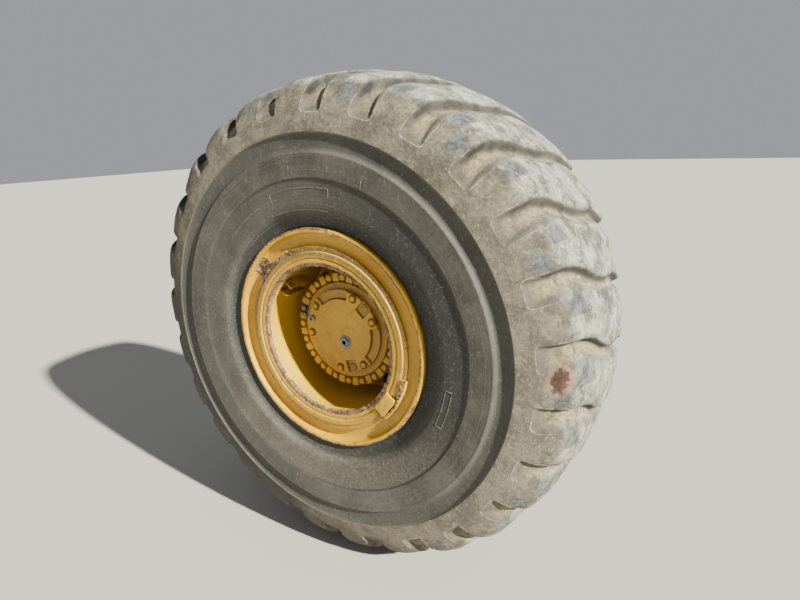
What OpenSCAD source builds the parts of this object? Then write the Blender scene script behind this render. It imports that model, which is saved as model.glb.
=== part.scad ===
// Wheel end of an articulated dump truck: a worn lug tyre on a five-piece rim,
// bolted to a planetary hub that turns on a flanged spindle with its brake housing.
// The wheel's axis lies along Y. Its outboard side faces -Y, and +Z is up.
// The origin is the middle of the spindle flange's inboard face.
// Profiles are lists of [radius, out], where out is the distance outboard of that face.
// Clock angles run clockwise from the top, seen from outboard.

/* [Tyre] */
// Overall diameter over the worn crown
tyre_d = 1840; // [1760:1:1900]
// Widest section, over the ridges on both sidewalls
tyre_w = 775; // [750:1:800]
// Width of the tread between its shoulder edges
tread_w = 605; // [560:1:640]
// How far the shoulder edge lies under the crown
shoulder_drop = 40; // [25:1:55]
// Thickness of the casing's sidewall
sidewall_t = 34; // [26:1:40]
// Thickness of the rubber and belts under the groove floors
crown_t = 52; // [40:1:60]

/* [Tread] */
// Number of lugs on each side
lugs = 26; // [22:1:28]
// Clock angle of the first groove's mouth
groove_phase = 1.65; // [0:0.05:13]
// Width of a groove where it leaves the shoulder
groove_w = 84; // [60:1:95]
// How far a groove moves round the tyre between the shoulder and the middle
groove_shift = 82; // [60:1:105]
// Width of a groove where it crosses the middle
groove_mid_w = 50; // [36:1:64]
// Depth of a groove below the shoulder edge
groove_depth = 42; // [25:1:50]
// Depth of a groove where it crosses the middle
groove_mid_depth = 20; // [12:1:28]
// Height of the shoulder pocket's foot below the crown
pocket_drop = 145; // [125:1:155]
// Depth of the pocket's floor beside its foot
pocket_depth = 8; // [4:1:30]

/* [Rim] */
// Diameter of the bead seats
seat_d = 635; // [620:1:650]
// Width between the two flanges
rim_w = 635; // [610:1:660]
// Height of a flange over its bead seat
flange_h = 88.9; // [82:0.1:96]
// Width of a flange, from its bead face to its lip
flange_w = 45; // [42:0.5:50]
// Thickness of a flange
flange_t = 18; // [14:0.5:20]
// Offset of the tyre's middle plane from the spindle flange's face
wheel_out = 200; // [190:1:230]
// Thickness of the rim base
base_t = 16; // [12:0.5:20]
// Outer radius of the rim base under the bead seat band
base_r = 300; // [296:0.5:302]
// Inner radius of the gutter lip at the rim base's outboard edge
gutter_in_r = 270; // [262:0.5:276]
// Width of the bead seat band
band_w = 202; // [180:1:215]
// Depth of the lock ring's groove in the rim base
groove_in_base = 12; // [9:0.5:13]
// Height of the lock ring over the rim base
lock_h = 24; // [20:0.5:25]
// Width of the driver key round the rim
key_w = 92; // [70:1:110]
// Clock angle of the driver key
key_angle = 128; // [0:1:359]
// Height of the valve guard's two plates
guard_h = 46; // [34:1:52]
// Length of those plates along the wheel's axis
guard_l = 105; // [70:1:120]
// Clearance between the two plates
guard_gap = 40; // [32:1:50]

/* [Wheel disc] */
// Thickness of the wheel disc
disc_t = 22; // [16:1:28]
// Distance from the spindle flange's face to the disc's inboard face
disc_out = 240; // [225:1:250]
// Radius of the disc's centre hole
disc_hole_r = 224; // [222.5:0.5:228]
// Number of wheel studs
studs = 20; // [12:1:24]
// Radius of the wheel studs' circle
stud_circle_r = 248; // [246:0.5:252]
// Radius of a wheel stud
stud_r = 12; // [10:0.5:12.5]
// Width across the flats of a wheel nut
nut_af = 36; // [30:1:38]

/* [Hub] */
// Radius of the hub's wheel flange
hub_flange_r = 272; // [268:0.5:278]
// Thickness of the hub's wheel flange
hub_flange_t = 28; // [22:1:34]
// Radius of the hub's drum outboard of the wheel flange
drum_r = 205; // [195:0.5:210]
// Radius of the hub's neck beside the brake housing
neck_r = 190; // [170:1:195]
// Radius of the bolted joint between hub and planet housing
joint_r = 221.4; // [216:0.1:222]
// Distance from the spindle flange's face to that joint
joint_out = 400; // [390:1:405]
// Thickness of the planet housing's flange
housing_t = 29.5; // [24:0.5:32]
// Number of bolts in the joint
joint_bolts = 20; // [16:1:22]
// Radius of the joint bolts' circle
joint_circle_r = 204; // [203:0.5:206]
// Width across the flats of a joint bolt
joint_bolt_af = 22; // [18:1:24]
// Radius of the planet housing's raised middle
housing_mid_r = 188; // [184:0.5:190]
// Height of the pads between the joint bolts
pad_h = 11.5; // [8:0.5:14]
// Width of those pads round the wheel
pad_w = 28; // [20:1:32]

/* [Cover] */
// Radius of the cover
cover_r = 160; // [150:0.5:170]
// Height of the cover over the planet housing
cover_t = 19; // [16:0.5:24]
// Radius of the cover bolts' circle
cover_circle_r = 146; // [140:0.5:150]
// Width across the flats of a cover bolt
cover_bolt_af = 19; // [17:1:21]
// Angle between the two bolts of a pair
pair_angle = 45; // [36:1:54]
// Depth of the three ledges round the cover's edge
ledge_depth = 9; // [6:0.5:11]
// Width of those ledges
ledge_w = 34; // [26:1:38]
// Diameter of the middle plug
plug_d = 52; // [44:1:60]

/* [Axle end] */
// Radius of the spindle's flange
spindle_flange_r = 215; // [205:0.5:225]
// Thickness of the spindle's flange
spindle_flange_t = 30; // [22:1:36]
// Radius of the spindle, which the hub turns on
spindle_r = 85; // [78:0.5:92]
// Radius of the half-shaft's bore through the spindle
shaft_bore_r = 42; // [34:0.5:50]
// Number of holes in the spindle's flange
mount_holes = 16; // [12:1:20]
// Radius of the circle of those holes
mount_circle_r = 190; // [182:0.5:194]
// Radius of one of those holes
mount_hole_r = 11; // [8:0.5:12]
// Width of the brake housing along the axis
brake_w = 85; // [70:1:92]
// Radius of the brake housing
brake_r = 205; // [195:0.5:215]
// Radius of the brake housing's neck beside the spindle's flange
brake_neck_r = 166; // [155:0.5:168]
// Number of ribs on that neck
brake_ribs = 8; // [4:1:8]

/* [Hidden] */
$fn = 96;
// Clearances: a seat between fixed pieces, the running fit, and the gap at what turns past
seat_gap = 0.3;
run_gap = 0.05;
turn_gap = 5;
// How far a cutting tool reaches past the faces it cuts
past = 1;

tyre_r = tyre_d / 2;
half_w = tyre_w / 2;
half_tread = tread_w / 2;
seat_r = seat_d / 2;
flange_r = seat_r + flange_h;
half_rim = rim_w / 2;

// Turns a profile of [radius, distance] about the wheel's axis
module turned(points, sweep = 360)
    rotate([90, 0, 0]) rotate_extrude(angle = sweep) polygon(points);

// Turns a profile between two clock angles
module turned_between(points, from, to)
    rotate([0, to - 90, 0]) turned(points, to - from);

// Carries children to a clock angle, a radius and a distance outboard; their +Z points outboard
module at_clock(angle, r, out)
    rotate([0, angle, 0]) translate([0, -out, r]) rotate([90, 0, 0]) children();

// Carries children about the wheel's middle plane, and over to its inboard side for side = -1
module at_wheel(side = 1)
    translate([0, -wheel_out, 0]) scale([1, side, 1]) children();

function arc(c, r, from, to, n) =
    [for (i = [0:n]) let (a = from + (to - from) * i / n) c + r * [cos(a), sin(a)]];
function mirrored(p) = [for (i = [len(p) - 1:-1:0]) [p[i][0], -p[i][1]]];
function box_outline(r_in, r_out, from, to) = [[r_in, from], [r_out, from], [r_out, to], [r_in, to]];

// Tyre. Its sidewall follows the flange's curve, bulges to the ridge and ends in the shoulder.
flange_curve_r = 34.4;
flange_curve_c = [flange_r - flange_curve_r, half_rim + flange_curve_r];
curve_steps = 6;
bead_w = 74;
seat_slope = tan(5);
toe_drop = seat_slope * bead_w;
// Radius at a share of the section's height over the flange
function up(share) = flange_r + share * (tyre_r - flange_r);
function crown(d) = tyre_r - shoulder_drop * pow(d / half_tread, 2);
// Share of the section's height, and how far the sidewall stays inside its widest line
sidewall = [[0.007, 23], [0.035, 18], [0.125, 11], [0.305, 9], [0.317, 6], [0.44, 2], [0.465, 1],
    [0.474, 0], [0.488, 1], [0.50, 6], [0.55, 10], [0.592, 8], [0.604, 4], [0.67, 10], [0.73, 18],
    [0.78, 28], [0.84, 46], [0.885, 64]];
half_outline = concat(
    [[seat_r + seat_gap - toe_drop, half_rim - bead_w], [seat_r + seat_gap, half_rim - seat_gap]],
    arc(flange_curve_c, flange_curve_r + seat_gap, -90, 0, curve_steps),
    [for (s = sidewall) [up(s[0]), half_w - s[1]]],
    [for (d = [half_tread:-half_tread / 6:0]) [crown(d), d]]);
inside_crown_r = tyre_r - groove_depth - crown_t;
inside_flat = half_tread - 120;
half_inside = [[inside_crown_r, inside_flat], [up(0.885) - crown_t - 20, half_tread - 30],
    [up(0.70), half_w - 18 - sidewall_t], [up(0.48), half_w - sidewall_t],
    [up(0.25), half_w - 8 - sidewall_t], [flange_r, half_rim - 22],
    [seat_r + 40, half_rim - bead_w + 12], [seat_r + 6, half_rim - bead_w]];
casing_outline = concat(half_outline, mirrored(half_outline), mirrored(half_inside), half_inside);

// Floor that the grooves are cut down to: the pocket's foot, its floor, and the valley to the middle
pocket_foot_r = tyre_r - pocket_drop;
pocket_top_r = crown(half_tread) - groove_depth;
beyond = 40;
floor_outline = [[pocket_foot_r - beyond, -past], [pocket_foot_r - beyond, half_w + beyond],
    [pocket_foot_r, half_w + beyond], [pocket_foot_r, half_w - 16],
    [pocket_foot_r + 10, half_w - 20 - pocket_depth],
    [pocket_top_r, half_tread + 34 - pocket_depth], [pocket_top_r + 12, half_tread - 45],
    [tyre_r - groove_depth, half_tread * 0.55], [tyre_r - groove_mid_depth, 0],
    [tyre_r - groove_mid_depth, -past]];

// One groove's plan, seen down on the tread: straight through the shoulder, then an S to the middle.
// Each edge of the S follows two equal arcs, and the groove narrows between them.
sweep_start = half_tread - 5;
s_steps = 2;
function s_edge(x, shift) =
    let (r = (sweep_start * sweep_start + shift * shift) / (4 * shift),
         turn = asin(sweep_start / 2 / r) / s_steps)
    concat([for (i = [0:s_steps]) [x + r - r * cos(i * turn), r * sin(i * turn) - sweep_start]],
           [for (i = [s_steps - 1:-1:0]) [x + shift - r + r * cos(i * turn), -r * sin(i * turn)]]);
function reversed(p) = [for (i = [len(p) - 1:-1:0]) p[i]];
narrowing = (groove_w - groove_mid_w) / 2;
module groove_plan() polygon(concat(
    [[-groove_w / 2, -half_w - beyond]], s_edge(-groove_w / 2, groove_shift + narrowing),
    [[groove_shift - groove_mid_w / 2, past], [groove_shift + groove_mid_w / 2, past]],
    reversed(s_edge(groove_w / 2, groove_shift - narrowing)), [[groove_w / 2, -half_w - beyond]]));

module grooves()
    difference() {
        for (i = [0:lugs - 1])
            rotate([0, i * 360 / lugs, 0]) translate([0, 0, pocket_foot_r - beyond / 2])
                linear_extrude(pocket_drop + beyond) groove_plan();
        turned(floor_outline);
    }

// The far side's grooves go on from the near side's, turned half round about a radius
far_turn = -2 * asin(groove_shift / tyre_r);
module tyre() color("#4b4a47")
    translate([0, -wheel_out, 0]) rotate([0, groove_phase, 0]) difference() {
        turned(casing_outline);
        grooves();
        rotate([0, far_turn, 180]) grooves();
    }

// Rim: two side rings, the base with its gutter, the bead seat band and the lock ring
foot_rise = 5.5;
foot_w = 24.5;
foot_end = half_rim + foot_w;
lip_d = half_rim + flange_w;
edge = 3;
flange_outline = concat(
    [[seat_r + foot_rise + seat_gap, half_rim]],
    arc(flange_curve_c, flange_curve_r, -90, 0, curve_steps),
    [[flange_r, lip_d - edge], [flange_r - edge, lip_d], [flange_r - flange_t + edge, lip_d],
     [flange_r - flange_t, lip_d - edge]],
    arc(flange_curve_c, flange_curve_r - flange_t, 0, -90, curve_steps),
    [[seat_r + foot_rise + foot_w, half_rim + flange_t], [seat_r + foot_rise + 18, foot_end],
     [seat_r + foot_rise + seat_gap, foot_end]]);
module outer_flange() color("#b8862b") at_wheel() turned(flange_outline);
module inner_flange() color("#b8862b") at_wheel(-1) turned(flange_outline);

stop_h = 18;
stop_w = 10;
stop_end = foot_end + stop_w;
// Bead seat, with the rise that carries the flange's foot and the stop outside it
seat_outline = [[seat_r - toe_drop, half_rim - bead_w], [seat_r, half_rim],
    [seat_r + foot_rise, half_rim + 1.5], [seat_r + foot_rise, foot_end + seat_gap],
    [seat_r + foot_rise + stop_h, foot_end + seat_gap], [seat_r + foot_rise + stop_h, stop_end]];
wall_r = base_r - base_t;
gutter_in = half_rim + 5.5;
gutter_lip = half_rim + 28.5;
gutter_end = half_rim + 37;
base_outline = concat(
    [[base_r, gutter_in], [base_r - groove_in_base, gutter_in], [base_r - groove_in_base, gutter_lip],
     [base_r - 2, gutter_lip], [base_r - 2, gutter_end - 2], [base_r - 4, gutter_end],
     [gutter_in_r + 4, gutter_end], [gutter_in_r, gutter_end - 4],
     [gutter_in_r, gutter_in + 1], [wall_r, gutter_in - 12], [wall_r, -stop_end]],
    mirrored(seat_outline), [[base_r, -half_rim + bead_w + 16]]);

// Slot through the gutter lip, the lock ring's gap and the band's end that the driver key fits
key_in = foot_end + 0.7;
key_out = half_rim + 43.5;
key_foot_r = base_r - groove_in_base + seat_gap;
key_top_r = seat_r + foot_rise + stop_h - 5;
module key_slot()
    at_wheel() rotate([0, key_angle, 0])
        translate([-key_w / 2 - seat_gap, -key_out, key_foot_r - seat_gap])
            cube([key_w + 2 * seat_gap, key_out - key_in + seat_gap,
                  key_top_r - key_foot_r + 2 * seat_gap]);

module rim_base() color("#b8862b")
    difference() {
        at_wheel() turned(base_outline);
        key_slot();
    }

// The bevel on which band and lock ring bear
bevel_in = half_rim + 16.8;
bevel_rise = (stop_end - bevel_in) / (lock_h + 1.2);
band_in_r = base_r + 0.4;
module bead_seat_band() color("#b8862b")
    difference() {
        at_wheel() turned(concat([[band_in_r, stop_end - band_w], [band_in_r + 4, stop_end - band_w]],
            seat_outline, [[band_in_r + lock_h + 1.2, stop_end], [band_in_r, bevel_in]]));
        key_slot();
    }

lock_out = half_rim + 40;
lock_outline = [[key_foot_r, gutter_in + seat_gap], [key_foot_r, gutter_lip - seat_gap],
    [base_r - 2 + seat_gap, gutter_lip - seat_gap], [base_r - 2 + seat_gap, lock_out - 2],
    [base_r + 0.3, lock_out], [base_r + lock_h - 2, lock_out], [base_r + lock_h, lock_out - 2],
    [base_r + lock_h, bevel_in + 0.5 + bevel_rise * lock_h], [base_r, bevel_in + 0.5],
    [base_r, gutter_in + seat_gap]];
key_half = asin(key_w / 2 / key_foot_r) + 0.2;
module lock_ring() color("#7d6a52")
    at_wheel() turned_between(lock_outline, key_angle + key_half, key_angle - key_half + 360);

key_chamfer = 4;
module driver_key() color("#d0a02c")
    at_wheel() rotate([0, key_angle, 0]) translate([0, 0, key_foot_r]) mirror([0, 1, 0])
        linear_extrude(key_top_r - key_foot_r)
            polygon([[-key_w / 2, key_in], [key_w / 2, key_in], [key_w / 2, key_out - key_chamfer],
                [key_w / 2 - key_chamfer, key_out], [key_chamfer - key_w / 2, key_out],
                [-key_w / 2, key_out - key_chamfer]]);

// Stop welded on the band's end: a bar behind the key, and a pad beside it
stop_in_r = norm([key_top_r, key_w / 2]) + seat_gap;
stop_out_r = seat_r + foot_rise + stop_h;
stop_t = 9;
pad_sweep = 14;
module driver_stop() color("#6f5a48")
    at_wheel() {
        turned_between(box_outline(stop_in_r, stop_out_r + 5, stop_end, stop_end + stop_t),
            key_angle - key_half, key_angle + key_half);
        turned_between(box_outline(base_r + lock_h + 4, stop_out_r + 5, stop_end, stop_end + stop_t),
            key_angle - key_half - pad_sweep, key_angle - key_half - 1);
    }

// Wheel disc, welded inside the base on both sides
weld = 12;
disc_face = disc_out + disc_t;
stud_hole_r = stud_r + 1;
disc_outline = [[disc_hole_r, disc_out], [disc_hole_r, disc_face], [wall_r - weld, disc_face],
    [wall_r - seat_gap, disc_face + weld], [wall_r - seat_gap, disc_out - weld],
    [wall_r - weld, disc_out]];
module stud_holes(out, h)
    for (i = [0:studs - 1])
        at_clock(i * 360 / studs, stud_circle_r, out - past) cylinder(r = stud_hole_r, h = h + 2 * past);
module wheel_disc() color("#b8862b")
    difference() {
        turned(disc_outline);
        stud_holes(disc_out, disc_t);
    }

washer_t = 4;
nut_t = 24;
stud_end = 10;
stud_head = 8;
flange_back = disc_out - hub_flange_t;
module wheel_nuts() color("#8a7a5c")
    for (i = [0:studs - 1])
        at_clock(i * 360 / studs, stud_circle_r, flange_back) {
            translate([0, 0, -stud_head]) cylinder(r = stud_r + 5, h = stud_head);
            cylinder(r = stud_r, h = hub_flange_t + disc_t + washer_t + nut_t + stud_end);
            translate([0, 0, hub_flange_t + disc_t]) {
                cylinder(r = nut_af / 2 + 3, h = washer_t);
                cylinder(d = nut_af / cos(30), h = washer_t + nut_t, $fn = 6);
            }
        }

// Hub, which turns on the spindle and carries the wheel
bore_end = joint_out - 60;
hub_in = spindle_flange_t + brake_w + turn_gap;
hub_outline = [[spindle_r + run_gap, hub_in], [neck_r - 4, hub_in], [neck_r, hub_in + 4],
    [neck_r, flange_back - 34], [neck_r + 12, flange_back - 12], [neck_r + 36, flange_back],
    [hub_flange_r - edge, flange_back], [hub_flange_r, flange_back + edge], [hub_flange_r, disc_out],
    [drum_r + 8, disc_out], [drum_r, disc_out + 8],
    [drum_r, joint_out - 44], [joint_r, joint_out - 26], [joint_r, joint_out],
    [0, joint_out], [0, bore_end], [spindle_r + run_gap, bore_end]];
module hub() color("#a87c2a")
    difference() {
        turned(hub_outline);
        stud_holes(flange_back, hub_flange_t);
    }

// Guard ring on the hub's neck, over the seal's gap
seal_t = 14;
seal_h = 14;
module hub_seal() color("#5a4a34")
    turned([[neck_r + seat_gap, hub_in + 8], [neck_r + seal_h, hub_in + 8],
        [neck_r + seal_h, hub_in + 8 + seal_t - 4], [neck_r + seal_h - 4, hub_in + 8 + seal_t],
        [neck_r + seat_gap, hub_in + 8 + seal_t]]);

// Planet housing: a bolted ring with pads between its bolts, and a raised middle
housing_face = joint_out + housing_t;
bolt_face = housing_face - pad_h;
housing_hole_r = 118;
housing_outline = [[housing_hole_r, joint_out], [joint_r, joint_out], [joint_r, bolt_face - 2],
    [joint_r - 2, bolt_face], [housing_mid_r, bolt_face], [housing_mid_r - 3, housing_face - 4],
    [housing_mid_r - 7, housing_face], [housing_hole_r, housing_face]];
module planet_housing() color("#b8862b") {
    turned(housing_outline);
    intersection() {
        turned(box_outline(housing_mid_r - 8, joint_r - 1, bolt_face - past, housing_face));
        for (i = [0:joint_bolts - 1])
            at_clock((i + 0.5) * 360 / joint_bolts, joint_circle_r, housing_face)
                translate([-pad_w / 2, -joint_r, -pad_h - past]) cube([pad_w, 2 * joint_r, pad_h + past]);
    }
}

// Hexagon head with its washer, by its width across the flats
module hex_bolt(af) {
    cylinder(d = 1.14 * af, h = 0.11 * af);
    cylinder(d = af / cos(30), h = 0.62 * af, $fn = 6);
}

module housing_bolts() color("#9a7d3c")
    for (i = [0:joint_bolts - 1])
        at_clock(i * 360 / joint_bolts, joint_circle_r, bolt_face) hex_bolt(joint_bolt_af);

// Cover with three pairs of bolts in counterbores, three ledges and two notches
cover_face = housing_face + cover_t;
counterbore = 6;
counterbore_r = 16;
pair_middles = [45, 165, 284];
notch_middles = [45, 165];
notch_w = 46;
ledge_in_r = cover_r - ledge_w;
ledge_from = 33;
ledge_to = 87;
cover_outline = [[0, housing_face], [cover_r, housing_face], [cover_r, cover_face - 5],
    [cover_r - 5, cover_face], [0, cover_face]];
module hub_cover() color("#b8862b")
    difference() {
        turned(cover_outline);
        for (a = pair_middles, s = [-0.5, 0.5])
            at_clock(a + s * pair_angle, cover_circle_r, cover_face - counterbore)
                cylinder(r = counterbore_r, h = counterbore + past);
        for (i = [0:2])
            turned_between(box_outline(ledge_in_r, cover_r + past, cover_face - ledge_depth,
                cover_face + past), pair_middles[i] + ledge_from, pair_middles[i] + ledge_to);
        for (a = notch_middles)
            at_clock(a, cover_circle_r, cover_face - ledge_depth) difference() {
                translate([-notch_w / 2, -ledge_w, 0]) cube([notch_w, 2 * ledge_w, ledge_depth + past]);
                translate([-notch_w / 4, -ledge_w / 2, 0]) cube([notch_w / 2, ledge_w * 0.8, 5]);
            }
    }

module cover_bolts() color("#9a7d3c")
    for (a = pair_middles, s = [-0.5, 0.5])
        at_clock(a + s * pair_angle, cover_circle_r, cover_face - counterbore)
            hex_bolt(cover_bolt_af);

// Round plug with a hexagon socket
module socket_plug(d, h, af)
    difference() {
        cylinder(d = d, h = h);
        translate([0, 0, h / 2]) cylinder(d = af / cos(30), h = h, $fn = 6);
    }

plug_angle = 164;
plug_r = 40;
module middle_plug() color("#4a4a48")
    at_clock(plug_angle, plug_r, cover_face) {
        cylinder(d1 = plug_d, d2 = plug_d - 4, h = 3);
        translate([0, 0, 3]) socket_plug(plug_d * 0.7, 6, plug_d * 0.32);
    }

module level_plug() color("#5c5a54")
    at_clock(pair_middles[2], cover_circle_r - 4, cover_face) socket_plug(26, 7, 13);

// Valve in the dish, between two welded plates: one straight, one bent over it
valve_angle = 307.5;
guard_t = 5;
guard_out = wheel_out + gutter_in - 13;
bend_r = 24;
bend = 50;
leg = guard_h - bend_r * sin(bend);
module valve_guard() color("#b8862b")
    intersection() {
        rotate([90, 0, 0]) cylinder(r = wall_r - seat_gap, h = guard_out);
        rotate([0, valve_angle, 0]) translate([0, guard_l - guard_out, wall_r]) rotate([90, 0, 0])
            linear_extrude(guard_l) {
                translate([guard_gap / 2, -guard_h]) square([guard_t, guard_h + 10]);
                translate([-guard_gap / 2 - guard_t, -leg]) square([guard_t, leg + 10]);
                polygon(concat(arc([bend_r - guard_gap / 2, -leg], bend_r + guard_t, 180, 180 + bend, 5),
                    arc([bend_r - guard_gap / 2, -leg], bend_r, 180 + bend, 180, 5)));
            }
    }

stem_r = 8;
stem_h = 24;
stem_l = 46;
module valve_stem() color("#8c7a4a")
    rotate([0, valve_angle, 0])
        translate([0, -guard_out + guard_l * 0.7, wall_r - seat_gap - stem_h]) {
            cylinder(r = stem_r, h = stem_h - 0.2);
            rotate([90, 0, 0]) cylinder(r = stem_r - 2, h = stem_l);
            translate([0, 10 - stem_l, 0]) rotate([90, 0, 0]) cylinder(r = stem_r, h = 14);
        }

// Spindle with its bolted flange
spindle_end = bore_end - turn_gap;
spindle_outline = [[shaft_bore_r, 0], [spindle_flange_r - edge, 0], [spindle_flange_r, edge],
    [spindle_flange_r, spindle_flange_t], [spindle_r, spindle_flange_t], [spindle_r, spindle_end - 6],
    [spindle_r - 6, spindle_end], [shaft_bore_r, spindle_end]];
module spindle() color("#8b7442")
    difference() {
        turned(spindle_outline);
        for (i = [0:mount_holes - 1])
            at_clock((i + 0.5) * 360 / mount_holes, mount_circle_r, -past)
                cylinder(r = mount_hole_r, h = spindle_flange_t + 2 * past);
    }

// Brake housing: a ribbed neck that leaves room for the mounting bolts, and the drum
brake_end = spindle_flange_t + brake_w;
neck_end = spindle_flange_t + 25;
rib_w = 14;
brake_outline = [[spindle_r + seat_gap, spindle_flange_t], [brake_neck_r, spindle_flange_t],
    [brake_neck_r, neck_end], [brake_r - edge, neck_end + 8], [brake_r, neck_end + 8 + edge],
    [brake_r, brake_end - edge], [brake_r - edge, brake_end], [spindle_r + seat_gap, brake_end]];
module brake_housing() color("#a07a30") {
    turned(brake_outline);
    for (i = [0:brake_ribs - 1])
        rotate([0, i * 360 / brake_ribs, 0])
            translate([-rib_w / 2, -neck_end - 10, brake_neck_r - 10])
                cube([rib_w, neck_end + 10 - spindle_flange_t, brake_r - brake_neck_r + 4]);
}

// Ports on the brake housing's drum: the brake line's, the cooling oil's and the bleeder
port_angles = [-22, 8, 30];
port_out = (neck_end + 8 + brake_end) / 2;
module brake_ports() color("#6d6250")
    for (a = port_angles)
        rotate([0, a, 0]) translate([0, -port_out, brake_r + seat_gap]) {
            cylinder(r = 15, h = 8);
            translate([0, 0, 8]) cylinder(d = 24 / cos(30), h = 12, $fn = 6);
        }

spindle();
brake_housing();
brake_ports();
tyre();
rim_base();
outer_flange();
inner_flange();
bead_seat_band();
lock_ring();
driver_key();
driver_stop();
wheel_disc();
wheel_nuts();
hub();
hub_seal();
planet_housing();
housing_bolts();
hub_cover();
cover_bolts();
middle_plug();
level_plug();
valve_stem();
valve_guard();
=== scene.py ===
# %% Load the frame
import bpy
import numpy as np
from math import radians, degrees, sin, cos, pi
from mathutils import Matrix, Vector, noise


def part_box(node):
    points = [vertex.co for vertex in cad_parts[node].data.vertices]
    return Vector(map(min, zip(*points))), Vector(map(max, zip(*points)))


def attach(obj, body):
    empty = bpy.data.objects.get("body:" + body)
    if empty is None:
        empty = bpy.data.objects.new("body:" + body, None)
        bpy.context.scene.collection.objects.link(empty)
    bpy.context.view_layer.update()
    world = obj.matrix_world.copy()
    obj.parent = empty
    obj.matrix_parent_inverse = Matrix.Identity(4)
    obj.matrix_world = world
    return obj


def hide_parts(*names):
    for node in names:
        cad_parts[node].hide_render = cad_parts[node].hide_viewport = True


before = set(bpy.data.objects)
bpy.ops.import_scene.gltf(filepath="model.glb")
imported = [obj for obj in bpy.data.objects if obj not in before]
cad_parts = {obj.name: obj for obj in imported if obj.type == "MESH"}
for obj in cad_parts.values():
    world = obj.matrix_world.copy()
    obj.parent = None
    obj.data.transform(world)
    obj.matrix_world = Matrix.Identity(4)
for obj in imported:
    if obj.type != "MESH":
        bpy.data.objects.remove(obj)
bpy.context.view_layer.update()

# %% [markdown]
# This lesson dresses one wheel end: a worn lug tyre on a rim of several rings, bolted to a planetary
# hub. Nearly every piece is round, so the work starts with the sizes of a few rings. They are read
# from the frame, so the dressed pieces land on the solids with no fitting by eye.

# %% Sizes read from the frame
def outer_radius(node):
    """The radius of a round node, from its box."""
    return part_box(node)[1].x

def face_out(node):
    """How far a node reaches outboard, towards -Y."""
    return -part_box(node)[0].y

tyre_low, tyre_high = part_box("tyre")
TYRE_R = tyre_high.z
HALF_W = (tyre_high.y - tyre_low.y) / 2
MIDDLE = -(tyre_high.y + tyre_low.y) / 2
FLANGE_R = outer_radius("outer_flange")
LIP = face_out("outer_flange") - MIDDLE
print("tyre radius", round(TYRE_R, 3), "half width", round(HALF_W, 4), "middle plane", round(MIDDLE, 3))
print("flange radius", round(FLANGE_R, 4), "flange lip", round(LIP, 4), "from the middle plane")

# %% [markdown]
# The camera comes first, because every later choice is judged through it. The photo was taken from
# the front right of the wheel with a wide lens, a little above the hub. A camera is turned by three
# angles in turn, so its place, yaw, pitch and roll can be typed as plain numbers.

# %% Camera at the photo's place
CAMERA_PLACE = (1.213, -2.0165, 0.691)
YAW, PITCH_DOWN, ROLL = radians(31.4), radians(16.29), radians(-2.1)
LENS, SENSOR = 25.29, 36.0
bpy.ops.object.camera_add(location=CAMERA_PLACE)
camera = bpy.context.object
camera.name = "photo_camera"
camera.data.lens, camera.data.sensor_width = LENS, SENSOR
turn = Matrix.Rotation(YAW, 3, "Z") @ Matrix.Rotation(pi / 2 - PITCH_DOWN, 3, "X")
camera.rotation_euler = (turn @ Matrix.Rotation(ROLL, 3, "Z")).to_euler()
bpy.context.scene.camera = camera
print("camera at", CAMERA_PLACE, "lens", LENS, "mm")

# %% [markdown]
# A pale floor under the tyre keeps the picture plain. The light follows the photo's sun: it comes from
# the right, above, and only a little from in front of the wheel's face. So the tread is bright, the
# light just grazes the sidewall, and a bright crescent lies inside the dish. One large soft light and a
# pale sky open up the shade.

# %% Floor
FLOOR_Z, FLOOR_SIZE = -TYRE_R, 60
bpy.ops.mesh.primitive_plane_add(size=FLOOR_SIZE, location=(0, 0, FLOOR_Z))
floor = bpy.context.object
floor.name = "floor"
floor_finish = bpy.data.materials.new("pale_floor")
floor_finish.use_nodes = True
floor_shader = floor_finish.node_tree.nodes["Principled BSDF"]
floor_shader.inputs["Base Color"].default_value = (0.38, 0.365, 0.33, 1)
floor_shader.inputs["Roughness"].default_value = 0.9
floor.data.materials.append(floor_finish)
print("floor at", round(FLOOR_Z, 3), "m,", FLOOR_SIZE, "m wide")

# %% Sun, soft light and sky
SUN_FROM, SUN_POWER, SUN_WIDTH = Vector((0.857, -0.157, 0.515)), 18.8, radians(1.6)
FILL_PLACE, FILL_POWER, FILL_SIZE = Vector((-2.0, -6.0, 2.5)), 25, 5.0
SKY_COLOUR, SKY_STRENGTH = (0.86, 0.90, 0.96, 1), 0.42
WHEEL_MIDDLE = Vector((0, -MIDDLE, 0))

def lamp(name, kind, place, direction, power, colour):
    """Adds a light that shines in a direction."""
    bpy.ops.object.light_add(type=kind, location=place)
    made = bpy.context.object
    made.name = name
    made.data.energy, made.data.color = power, colour
    made.rotation_euler = direction.to_track_quat("-Z", "Y").to_euler()
    return made

key_light = lamp("key_light", "SUN", SUN_FROM * 5, -SUN_FROM, SUN_POWER, (1.0, 0.975, 0.85))
key_light.data.angle = SUN_WIDTH
front_fill = lamp("front_fill", "AREA", FILL_PLACE, WHEEL_MIDDLE - FILL_PLACE, FILL_POWER, (0.95, 0.97, 1.0))
front_fill.data.size = FILL_SIZE
world = bpy.data.worlds.new("studio")
world.use_nodes = True
sky = world.node_tree.nodes["Background"].inputs
sky["Color"].default_value, sky["Strength"].default_value = SKY_COLOUR, SKY_STRENGTH
bpy.context.scene.world = world
print("lights:", key_light.name, "and", front_fill.name)

# %% [markdown]
# Turned pieces are drawn as a profile and spun, as on a lathe. The profile is a loop of vertices:
# one vertex is extruded from point to point. A point is (radius, distance), with the distance measured
# outboard, and a third number rounds the corner there, because no real edge is perfectly sharp.

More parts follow.
